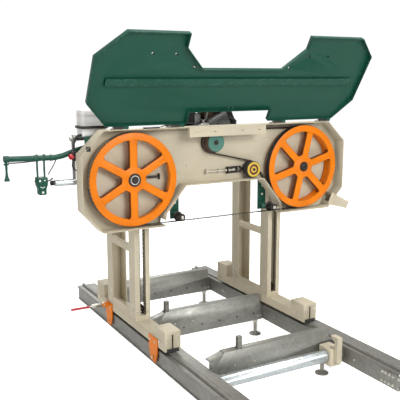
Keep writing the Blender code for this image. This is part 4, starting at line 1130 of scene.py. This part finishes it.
def make_controls():
    y = 125
    bits = Piece("handle_collars", "head", "green")
    bits.turned([
        (0, -1151), (15, -1151), (16.8, -1149), (16.8, -1128), (15, -1126.5), (0, -1126.5),
    ], "x", (y, 127), 32)
    for start, z in ((-1002, 123.8), (-962, 123.1), (-925, 122.5)):
        bits.turned([
            (10, start), (16.2, start + 1), (16.6, start + 6), (16.2, start + 11), (10, start + 12),
        ], "x", (y, z), 28)
    bits.done()
    lever = Piece("throttle_lever_body", "throttle_lever", "dark_steel", "green")
    lever.turned([
        (0, 111), (5.8, 111), (6.2, 108), (5.2, 62), (6.4, 48), (9.8, 34), (13.2, 26), (13.6, 22.5), (12, 20),
        (0, 20),
    ], "z", (-1140, y), 32)
    lever.rod(4.6, "x", -1152, -1128, (y, 102), 18)
    lever.done(replaces=("throttle_lever",))
    case = Piece("control_box_case", "head", "green")
    outline = rounded([
        (-1000, 29.7), (-1000, -10), (-992, -30), (-992, -59.5), (-953, -59.5), (-953, -30), (-945, -10),
        (-945, 29.7),
    ], 7, 4)
    case.prism(outline, "y", 105, 145, 3, segments=3)
    case.prism(rounded([(-996, 25.7), (-996, -8), (-949, -8), (-949, 25.7)], 6, 3), "y", 103.5, 105.6, 0.6)
    case.done(replaces=("control_box",))
    buttons = Piece("control_box_buttons", "head", "tank_plastic", "white")
    for bx, bz, r in ((-985, 13, 5.2), (-961, 13, 3.6), (-972.5, -46, 5.8)):
        buttons.turned([(0, 102), (r * 0.8, 102), (r, 103), (r, 105.2), (0, 105.2)], "y", (bx, bz), 24)
    buttons.pipe([(a, 104, b) for a, b in arc(10.5, (-972.5, -12), 200, 17, 9)], 1.8, 8)
    buttons.done()
    side = Piece("control_box_switch", "head", "dark_steel", "black_plastic")
    side.turned([(0, -945), (6, -945), (6, -940), (4, -939), (0, -939)], "x", (y, 6), 20)
    side.pipe([(-940, y, 6), (-928, y - 4, 12), (-918, y - 10, 20)], [2.6, 3, 4], 10)
    side.turned([(0, -1006), (4.5, -1006), (5, -999), (0, -999)], "x", (y, 10), 18)
    side.done()
    hangers = Piece("control_box_hangers", "head", "green")
    for x in (-990, -955):
        loop = arc(16.6, (y, 123.5), -90, 15, 25)
        hangers.pipe([(x + 1.2 * math.sin(k), a, b) for k, (a, b) in enumerate(loop)], 3, 8)
        hangers.pipe([(x - 2, y, 108), (x - 3, y - 1, 70), (x - 1, y, 28)], 3.4, 10)
    hangers.done()
    stay = Piece("handle_stay", "head", "dark_steel")
    stay.pipe([(-895, y, 110), (-906, y - 4, 90), (-923, y - 8, 66), (-940, y - 10, 40)], 2.4, 10)
    stay.done()
    cable = Piece("throttle_cable", "head", "rubber", "black_plastic")
    route = [
        (-1128, y + 2, 107), (-1100, y + 6, 105.5), (-1050, y + 8, 106.5), (-960, y + 19, 110),
        (-900, y + 17, 112), (-850, y + 17, 125), (-780, y + 18, 148), (-720, y + 23, 164),
        (-660, y + 15, 170), (-560, 175, 175), (-440, 190, 190), (-330, 195, 230), (-220, 180, 265),
        (-120, 160, 264), (-50, 150, 256),
    ]
    cable.pipe(eased(route, 8), 3, 10)
    cable.done()


def eased(points, steps):
    """A smooth line through the points."""
    route = [Vector(p) for p in points]
    found = []
    for i in range(len(route) - 1):
        a = route[max(i - 1, 0)]
        b = route[i]
        c = route[i + 1]
        d = route[min(i + 2, len(route) - 1)]
        for s in range(steps):
            t = s / steps
            square = (2 * a - 5 * b + 4 * c - d) * t * t
            cube = (3 * b - a - 3 * c + d) * t ** 3
            found.append(0.5 * (2 * b + (c - a) * t + square + cube))
    found.append(route[-1])
    return found


# Carriage


def link_outline(half, radius, waist):
    return [*arc(radius, (half, 0), -90, 30, 7), (0, waist), *arc(radius, (-half, 0), 90, 30, 7), (0, -waist)]


def make_chain(side):
    """A roller chain round the shaft's sprocket, the front shoe and the low sprocket."""
    back, top = SHAFT
    radius = 25.3 + 3
    line = belt_line([
        (back, top, radius, 1), (SHOE_Y, top, radius, 1), (*LOW_SPROCKET, radius, 1),
        (SHOE_Y + 25.3 + 12, top - 25.3 - 12, 12 + 3, -1),
    ], math.radians(10))
    total = sum((Vector(line[(i + 1) % len(line)]) - Vector(p)).length for i, p in enumerate(line))
    links = 2 * round(total / 12.7 / 2)
    pitch = total / links
    left = MAST_LEFT[side] + 52
    verts = []
    faces = []

    def across(points, low, high, capped=True):
        base, count = len(verts), len(points)
        verts.extend(Vector((left + x, *point)) * MM for x in (low, high) for point in points)
        if capped:
            faces.append([base + i for i in range(count)])
            faces.append([base + count + i for i in reversed(range(count))])
        for i in range(count):
            j = (i + 1) % count
            faces.append([base + j, base + i, base + count + i, base + count + j])

    marks = resampled(line, links)
    outline = link_outline(pitch / 2, 3, 2.1)
    for k, (point, _) in enumerate(marks):
        ahead = marks[(k + 1) % links][0]
        middle = (point + ahead) / 2
        run = (ahead - point).normalized()
        up = Vector((-run.y, run.x))
        plate = [middle + run * a + up * b for a, b in outline]
        for low, high in ((0, 1.1), (6.9, 8)) if k % 2 else ((1.2, 2.2), (5.8, 6.8)):
            across(plate, low, high)
        across(circle(1.8, point, 8), -0.4, 8.4)
        across(circle(2.7, point, 8), 2.2, 5.8, capped=False)
    mesh = bpy.data.meshes.new("chain")
    mesh.from_pydata(verts, [], faces)
    chain = Piece(side + "_roller_chain", "carriage", "dark_steel", "chain")
    chain.mesh.from_mesh(mesh)
    bpy.data.meshes.remove(mesh)
    chain.done(replaces=(side + "_lift_chain",))


def sprocket(piece, axis_centre, start, end, teeth=13, radius=24.8):
    outline = []
    for i in range(teeth * 4):
        angle = math.tau * i / (teeth * 4)
        r = (radius, radius - 1.2, radius - 3.4, radius - 1.2)[i % 4]
        outline.append((axis_centre[0] + r * math.cos(angle), axis_centre[1] + r * math.sin(angle)))
    piece.prism(outline, "x", start, end, 0.3)


def weld(piece, start, end, count, thick=2.2, ripple=0.6, wave=2.1):
    """A bead of weld from start to end, with a slow ripple in its thickness."""
    run = Vector(end) - Vector(start)
    route = [Vector(start) + run * (k / count) for k in range(count + 1)]
    piece.pipe(route, [thick + ripple * math.sin(k * wave) for k in range(count + 1)], 8)


def make_masts():
    for side, left in MAST_LEFT.items():
        right = left + MAST_WIDE
        make_chain(side)
        low = Piece(side + "_low_sprocket", side + "_chain_sprocket", "dark_steel", "chain")
        sprocket(low, LOW_SPROCKET, left + 54.5, left + 57.5)
        low.turned(rect(6.6, left + 50, 15, left + 62), "x", LOW_SPROCKET, 28)
        low.done(replaces=(side + "_chain_sprocket",))
        top = Piece(side + "_shaft_sprocket", "lift_shaft", "dark_steel", "chain")
        sprocket(top, SHAFT, left + 54.5, left + 57.5)
        top.turned(rect(12.2, left + 48, 18, left + 64), "x", SHAFT, 28)
        top.done()
        bolts = Piece(side + "_mast_bolts", "carriage", "galvanised", "zinc")
        for x, d in ((left, -1), (right, 1)):
            for y, z in (
                LOW_SPROCKET, (95, -700), (135, -700), (418, -755), (462, -755), (418, -705), (462, -705),
            ):
                bolts.bolt((x, y, z), "x", 6.2, d)
            for y in TRACK_WHEELS_Y.values():
                bolts.bolt((x, y, TRACK_AXLE_Z), "x", 8.5, d)
            bolts.bolt((x, 440, 125), "x", 5.5, d)
        for x in (left + 14, right - 14):
            for y, z, axis, way in (
                (75, -740, "y", -1), (-150, -790.2, "z", 1), (50, -790.2, "z", 1), (180, -790.2, "z", 1),
                (380, -790.2, "z", 1), (480, -740, "y", 1), (480, 100, "y", 1),
            ):
                bolts.bolt((x, y, z), axis, 5.5, way)
        for dx in (70, 18):
            bolts.bolt((left + dx, -285, -765), "y", 5, -1)
        bolts.done()
        welds = Piece(side + "_mast_welds", "carriage", "beige")
        for y0, y1, face in ((75, 155, 75), (400, 480, 480)):
            for x in (left, right):
                weld(welds, (x, y0, -789.3), (x, y1, -789.3), 17, wave=2.4)
            weld(welds, (left, face, -789.3), (right, face, -789.3), 20)
        for z in (-418, -382):
            weld(welds, (left, 400, z), (left + 25, 400, z), 10, 2, 0.5, 2.2)
        cap_front = rounded(rect(left + 0.5, 75.5, right - 0.5, 83), 1, 1)
        welds.prism(cap_front, "z", 150, 152, 0.5)
        welds.done()
        scraper = Piece(side + "_rail_scraper", "carriage", "rubber")
        scraper.block((left + 10, -288.5, -843), (left + 78, -285.5, -823), 0.8)
        scraper.done()
        for end, y in TRACK_WHEELS_Y.items():
            name = f"{side}_{end}_track_wheel"
            wheel = Piece(name + "_turned", name, "dark_steel")
            m = left + 44
            half = [
                (10.5, 20), (19, 20), (24, 15), (42, 15), (44.5, 18), (49.5, 18), (50.5, 16.5), (49, 13.5),
                (45.2, 6),
            ]
            profile = [(r, m - d) for r, d in half] + [(r, m + d) for r, d in half[::-1]]
            wheel.turned(profile, "x", (y, TRACK_AXLE_Z), 44)
            wheel.done(replaces=(name,))
    shaft = Piece("lift_shaft_fittings", "lift_shaft", "dark_steel", "zinc")
    for x in (-510, -408, 352, 453):
        shaft.turned([
            (12.2, x - 5), (19, x - 5), (20, x - 4), (20, x + 4), (19, x + 5), (12.2, x + 5),
        ], "x", SHAFT, 28)
    shaft.hexagon(24, "x", -718, -704.5, SHAFT, 0.3)
    shaft.done()
    crank = Piece("lift_crank_arm", "lift_shaft", "galvanised")
    arm = arc(18, (SHAFT[0], SHAFT[1] + 4), 0, 15, 13) + arc(14, (SHAFT[0], SHAFT[1] - 240), 180, 15, 13)
    crank.prism(arm, "x", -704, -694.5, 1.8)
    crank.turned([
        (12.4, -704.5), (20, -704.5), (21, -703), (21, -686), (19.5, -684.5), (12.4, -684.5),
    ], "x", SHAFT, 32)
    crank.rod(5.5, "x", -708, -690, CRANK_PIN, 18)
    crank.done(replaces=("lift_crank",))
    grip = Piece("lift_crank_grip", "lift_shaft", "rubber")
    profile = [(5.6, -834.5), (12.5, -835), (14.2, -832), (14.2, -828)]
    for k in range(13):
        at = -825 + k * 8.5
        profile += [(12.4, at), (13.6, at + 2), (13.6, at + 6), (12.4, at + 8)]
    profile += [(14, -713), (14.5, -709), (5.6, -708)]
    grip.turned(profile, "x", CRANK_PIN, 32)
    grip.done()


def make_hooks():
    bits = Piece("rail_hook_fixings", "carriage", "galvanised", "zinc")
    face = -509.3
    for y in (-155, 460):
        for dy in (-26, 26):
            bits.bolt((face, y + dy, -816), "x", 6.5, -1)
    bits.turned(rect(0, face - 8, 6.2, face + 12), "x", (-155, -908), 20)
    bits.hexagon(14, "x", face - 7, face, (-155, -908), 0.2)
    bits.block((-548, 450, -818), (-530, 453.5, -794), 1.2)
    bits.block((-548, 471.5, -818), (-530, 475, -794), 1.2)
    bits.rod(5, "y", 447, 479, (-540, -806), 18)
    bits.done()
    lever = Piece("rail_lock_rod", "rail_lock", "galvanised", "zinc")
    lever.turned([
        (6.6, 455.5), (12.2, 455.5), (13, 456.5), (13, 468.5), (12.2, 469.5), (6.6, 469.5),
    ], "y", (-540, -806), 32)
    lever.rod(4.2, "x", -652, -549, (462.5, -806), 18)
    lever.block((-608, 453, -816), (-554, 457, -796), 1.2)
    lever.block((-608, 468, -816), (-554, 472, -796), 1.2)
    lever.block((-612, 453, -815), (-606, 472, -797), 1.2)
    lever.rod(4, "y", 450, 475, (-592, -806), 16)
    lever.done(replaces=("rail_lock",))
    grip = Piece("rail_lock_grip", "rail_lock", "red")
    grip.turned([
        (0, -740), (4.6, -740), (6.6, -738), (7.4, -732), (7.6, -712), (7, -685), (6.9, -656), (7.8, -634),
        (7.8, -630), (6, -627), (0, -627),
    ], "x", (462.5, -806), 36)
    grip.done()
    stop = Piece("right_base_stop", "carriage", "yellow")
    stop.block((446.5, -205, -826), (450.5, -120, -812), 1.2)
    stop.block((450.5, -205, -826), (468, -200, -812), 1.2)
    stop.bolt((450.5, -150, -819), "x", 5.5, 1)
    stop.done()


# Bed


def make_rails():
    """C sections with a half-round track bar; web is the flat side, and s says which way it folds."""
    top, low = -858, -948
    t = 6
    for side, web, width, crest, s in (("left", -380, 120, 79, -1), ("right", 365, 125, 37, 1)):
        rail = Piece(side + "_rail_section", "root", "galvanised")

        def at(distance, z):
            return (web + s * distance, z)

        outline = [
            at(0, low + 2), at(2, low), at(width, low), at(width, low + t), at(t + 3, low + t),
            at(t, low + t + 3), at(t, top - t - 3), at(t + 3, top - t), at(width - t, top - t),
            at(width - t, top - 18), at(width, top - 18), at(width, top - 2), at(width - 2, top),
            at(crest + 18.5, top), at(crest + 17, top - 3), at(crest + 13, top - 3),
        ]
        outline += [at(distance, z) for distance, z in arc(12, (crest, top), 0, 15, 13)]
        outline += [
            at(crest - 13, top - 3), at(crest - 17, top - 3), at(crest - 18.5, top), at(2, top),
            at(0, top - 2),
        ]
        rail.prism(outline, "y", -1000, 1050, 0)
        if side == "left":
            rail.block((-496, -999.8, -944), (-492.5, 1049.8, -876), 1)
        rail.done(replaces=(side + "_rail",), smooth=25)
        bolts = Piece(side + "_rail_bolts", "root", "galvanised", "zinc")
        for face_y in BUNK_FACES:
            for dy in (12, 34):
                for z in (-885, -925):
                    bolts.bolt((web + s * t, face_y + dy, z), "x", 6.5, s)
        for y0 in (-1035, -1012, -975, -950, -925, -905):
            for z in (-925, -880):
                bolts.bolt((web - s * 6.2, y0, z), "x", 6.8, -s, stud=4)
        for y in (-700, -300, 0, 350, 600, 950):
            bolts.bolt((web - s * 0.2, y, -903), "x", 5.5, -s)
        bolts.done()


def make_bed():
    bits = Piece("bunk_fixings", "root", "galvanised", "zinc")
    for face_y in BUNK_FACES:
        for x in (-330, 330):
            y = face_y + 26
            bits.turned([
                (10.4, -956), (19, -956), (20, -954.5), (20, -950.5), (10.4, -950.5),
            ], "z", (x, y), 28)
            bits.hexagon(30, "z", -969, -956.2, (x, y), 0.2)
            for k in range(22):
                z = -1033 + k * 2.9
                bits.turned([(9.8, z), (11.2, z + 0.8), (11.2, z + 1.2), (9.8, z + 2)], "z", (x, y), 20)
        for x in (-360, 330, 350):
            bits.bolt((x, face_y, -925), "y", 5.5, -1)
        bits.bolt((-235, face_y, -875), "y", 5.5, -1)
        bits.bolt((-120, face_y, -875), "y", 4.5, -1)
    bits.done()
    pads = Piece("foot_pads", "root", "galvanised")
    for face_y in BUNK_FACES:
        for x in (-330, 330):
            pads.turned([
                (0, -1049.9), (34.5, -1049.9), (36.2, -1048.5), (36.2, -1045.5), (30, -1042.5), (15, -1039.5),
                (13, -1035), (0, -1035),
            ], "z", (x, face_y + 26), 44)
    pads.done()
    ends = Piece("bunk_end_gussets", "root", "galvanised", "bunk")
    for face_y in BUNK_FACES:
        ends.prism([
            (-283, -796), (-283, -802), (-346, -864), (-379, -874), (-379, -824),
        ], "y", face_y + 0.4, face_y + 5.6, 0.8)
        ends.prism([
            (-283, -795.6), (-379, -822.6), (-379, -827.6), (-283, -800.6),
        ], "y", face_y + 0.2, face_y + 44, 0.8)
    ends.done()
    # The punched holes are shown by thin dark discs, painted shade for the dark seen through them; the CAD
    # bunks are solid there.
    dark = Piece("bunk_hole_painted_shade", "root", "dark_steel", "rubber")
    for face_y in BUNK_FACES:
        for x in (-290, -180, -60, 60, 180, 300):
            dark.turned(rect(0, face_y - 0.3, 6, face_y + 1), "y", (x, -905), 24)
    dark.done()
    rings = Piece("clamp_tube_ends", "root", "galvanised")
    for x0, x1 in ((-379.5, -372), (361.4, 364.5)):
        rings.turned([
            (33.2, x0), (42, x0), (43, x0 + 1), (43, x1 - 1), (42, x1), (33.2, x1),
        ], "x", (-580, -905), 44)
    rings.done()
    screw = Piece("clamp_block_fittings", "clamp", "galvanised", "zinc")
    screw.bolt((285, -600, -858), "z", 8, 1, stud=8)
    screw.bolt((325, -560, -858), "z", 5.5, 1)
    screw.bolt((305, -628, -940), "y", 5.5, -1)
    screw.done()
    teeth = Piece("clamp_dog_teeth", "clamp_dog", "dark_steel", "zinc")
    for k in range(3):
        x = 293 + k * 9
        teeth.prism([(-600.5, -799), (-590, -794.5), (-600.5, -791.5)], "x", x, x + 6, 0.4)
    teeth.done()


# Surroundings


def make_floor():
    """A pale floor. It glows towards the camera only, so that it reads as a white studio sweep."""
    mesh = bpy.data.meshes.new("floor")
    mesh.from_pydata([(-14, -10, 0), (14, -10, 0), (14, 16, 0), (-14, 16, 0)], [], [(0, 1, 2, 3)])
    floor = bpy.data.objects.new("floor", mesh)
    bpy.context.scene.collection.objects.link(floor)
    finish = bpy.data.materials.new("floor")
    finish.use_nodes = True
    nodes, links = finish.node_tree.nodes, finish.node_tree.links
    shader = nodes["Principled BSDF"]
    shader.inputs["Base Color"].default_value = (0.95, 0.95, 0.95, 1.0)
    shader.inputs["Emission Color"].default_value = (1.0, 1.0, 1.0, 1.0)
    shader.inputs["Roughness"].default_value = 0.85
    shader.inputs["Specular IOR Level"].default_value = 0.1
    glow = nodes.new("ShaderNodeMapRange")
    glow.inputs["To Min"].default_value = 0.05
    glow.inputs["To Max"].default_value = 0.85
    links.new(nodes.new("ShaderNodeLightPath").outputs["Is Camera Ray"], glow.inputs["Value"])
    links.new(glow.outputs["Result"], shader.inputs["Emission Strength"])
    mesh.materials.append(finish)


def make_world():
    """A studio with soft fill light, brighter walls in the reflections and a white backdrop."""
    world = bpy.data.worlds.new("studio")
    world.use_nodes = True
    nodes, links = world.node_tree.nodes, world.node_tree.links
    fill = nodes["Background"]
    walls = nodes.new("ShaderNodeBackground")
    backdrop = nodes.new("ShaderNodeBackground")
    for node, colour, strength in (
        (fill, (1.0, 0.985, 0.96, 1.0), 0.22), (walls, (1.0, 0.99, 0.97, 1.0), 0.75),
        (backdrop, (1.0, 1.0, 1.0, 1.0), 1.02),
    ):
        node.inputs["Color"].default_value = colour
        node.inputs["Strength"].default_value = strength
    path = nodes.new("ShaderNodeLightPath")
    result = fill.outputs["Background"]
    for ray, other in (("Is Glossy Ray", walls), ("Is Camera Ray", backdrop)):
        either = nodes.new("ShaderNodeMixShader")
        links.new(path.outputs[ray], either.inputs["Fac"])
        links.new(result, either.inputs[1])
        links.new(other.outputs["Background"], either.inputs[2])
        result = either.outputs["Shader"]
    links.new(result, nodes["World Output"].inputs["Surface"])
    bpy.context.scene.world = world


def make_lights():
    aim = Vector((0.1, 0.0, 0.9))
    for name, at, size, power in (
        ("key", (0.9, -4.6, 2.9), 2.6, 158.0), ("top", (0.3, -0.8, 5.2), 2.6, 140.0),
        ("left", (-4.4, -1.2, 2.2), 3.0, 60.0), ("back", (1.0, 4.8, 4.2), 3.0, 120.0),
    ):
        light = bpy.data.lights.new(name, "AREA")
        light.shape = "DISK"
        light.size = size
        light.energy = power
        lamp = bpy.data.objects.new(name, light)
        bpy.context.scene.collection.objects.link(lamp)
        lamp.location = at
        lamp.rotation_euler = (aim - Vector(at)).to_track_quat("-Z", "Y").to_euler()


def make_camera():
    """The photograph's viewpoint, fitted to the wheel rims and the pan's outline."""
    camera = bpy.data.cameras.new("camera")
    camera.lens = 60.37
    camera.sensor_width = 36.0
    view = bpy.data.objects.new("camera", camera)
    bpy.context.scene.collection.objects.link(view)
    view.location = (-1.7409, -3.1281, 1.5600)
    tilt_down, roll, swing = 10.314, 0.09, -29.009
    view.rotation_euler = [math.radians(turn) for turn in (90 - tilt_down, roll, swing)]
    bpy.context.scene.camera = view
    bpy.context.scene.view_settings.view_transform = "Standard"


def main():
    make_fine_pieces()
    make_wheel("idle", -WHEEL_X, 0, sheave=False)
    make_wheel("drive", WHEEL_X, 14, sheave=True)
    make_blade()
    make_belt()
    make_pulley_and_idler()
    make_adjuster()
    make_head_details()
    make_tensioner()
    make_guides()
    make_cover_details()
    make_engine()
    make_lubricant_tank()
    make_controls()
    make_masts()
    make_hooks()
    make_rails()
    make_bed()
    for node in frame["nodes"]:
        if not frame["nodes"][node].hide_render:
            finish = SLOT_OF[node]
            dress(node, {"blade_steel": "blade", "tank_plastic": "tank"}.get(finish, finish))
    make_floor()
    make_world()
    make_lights()
    make_camera()


main()
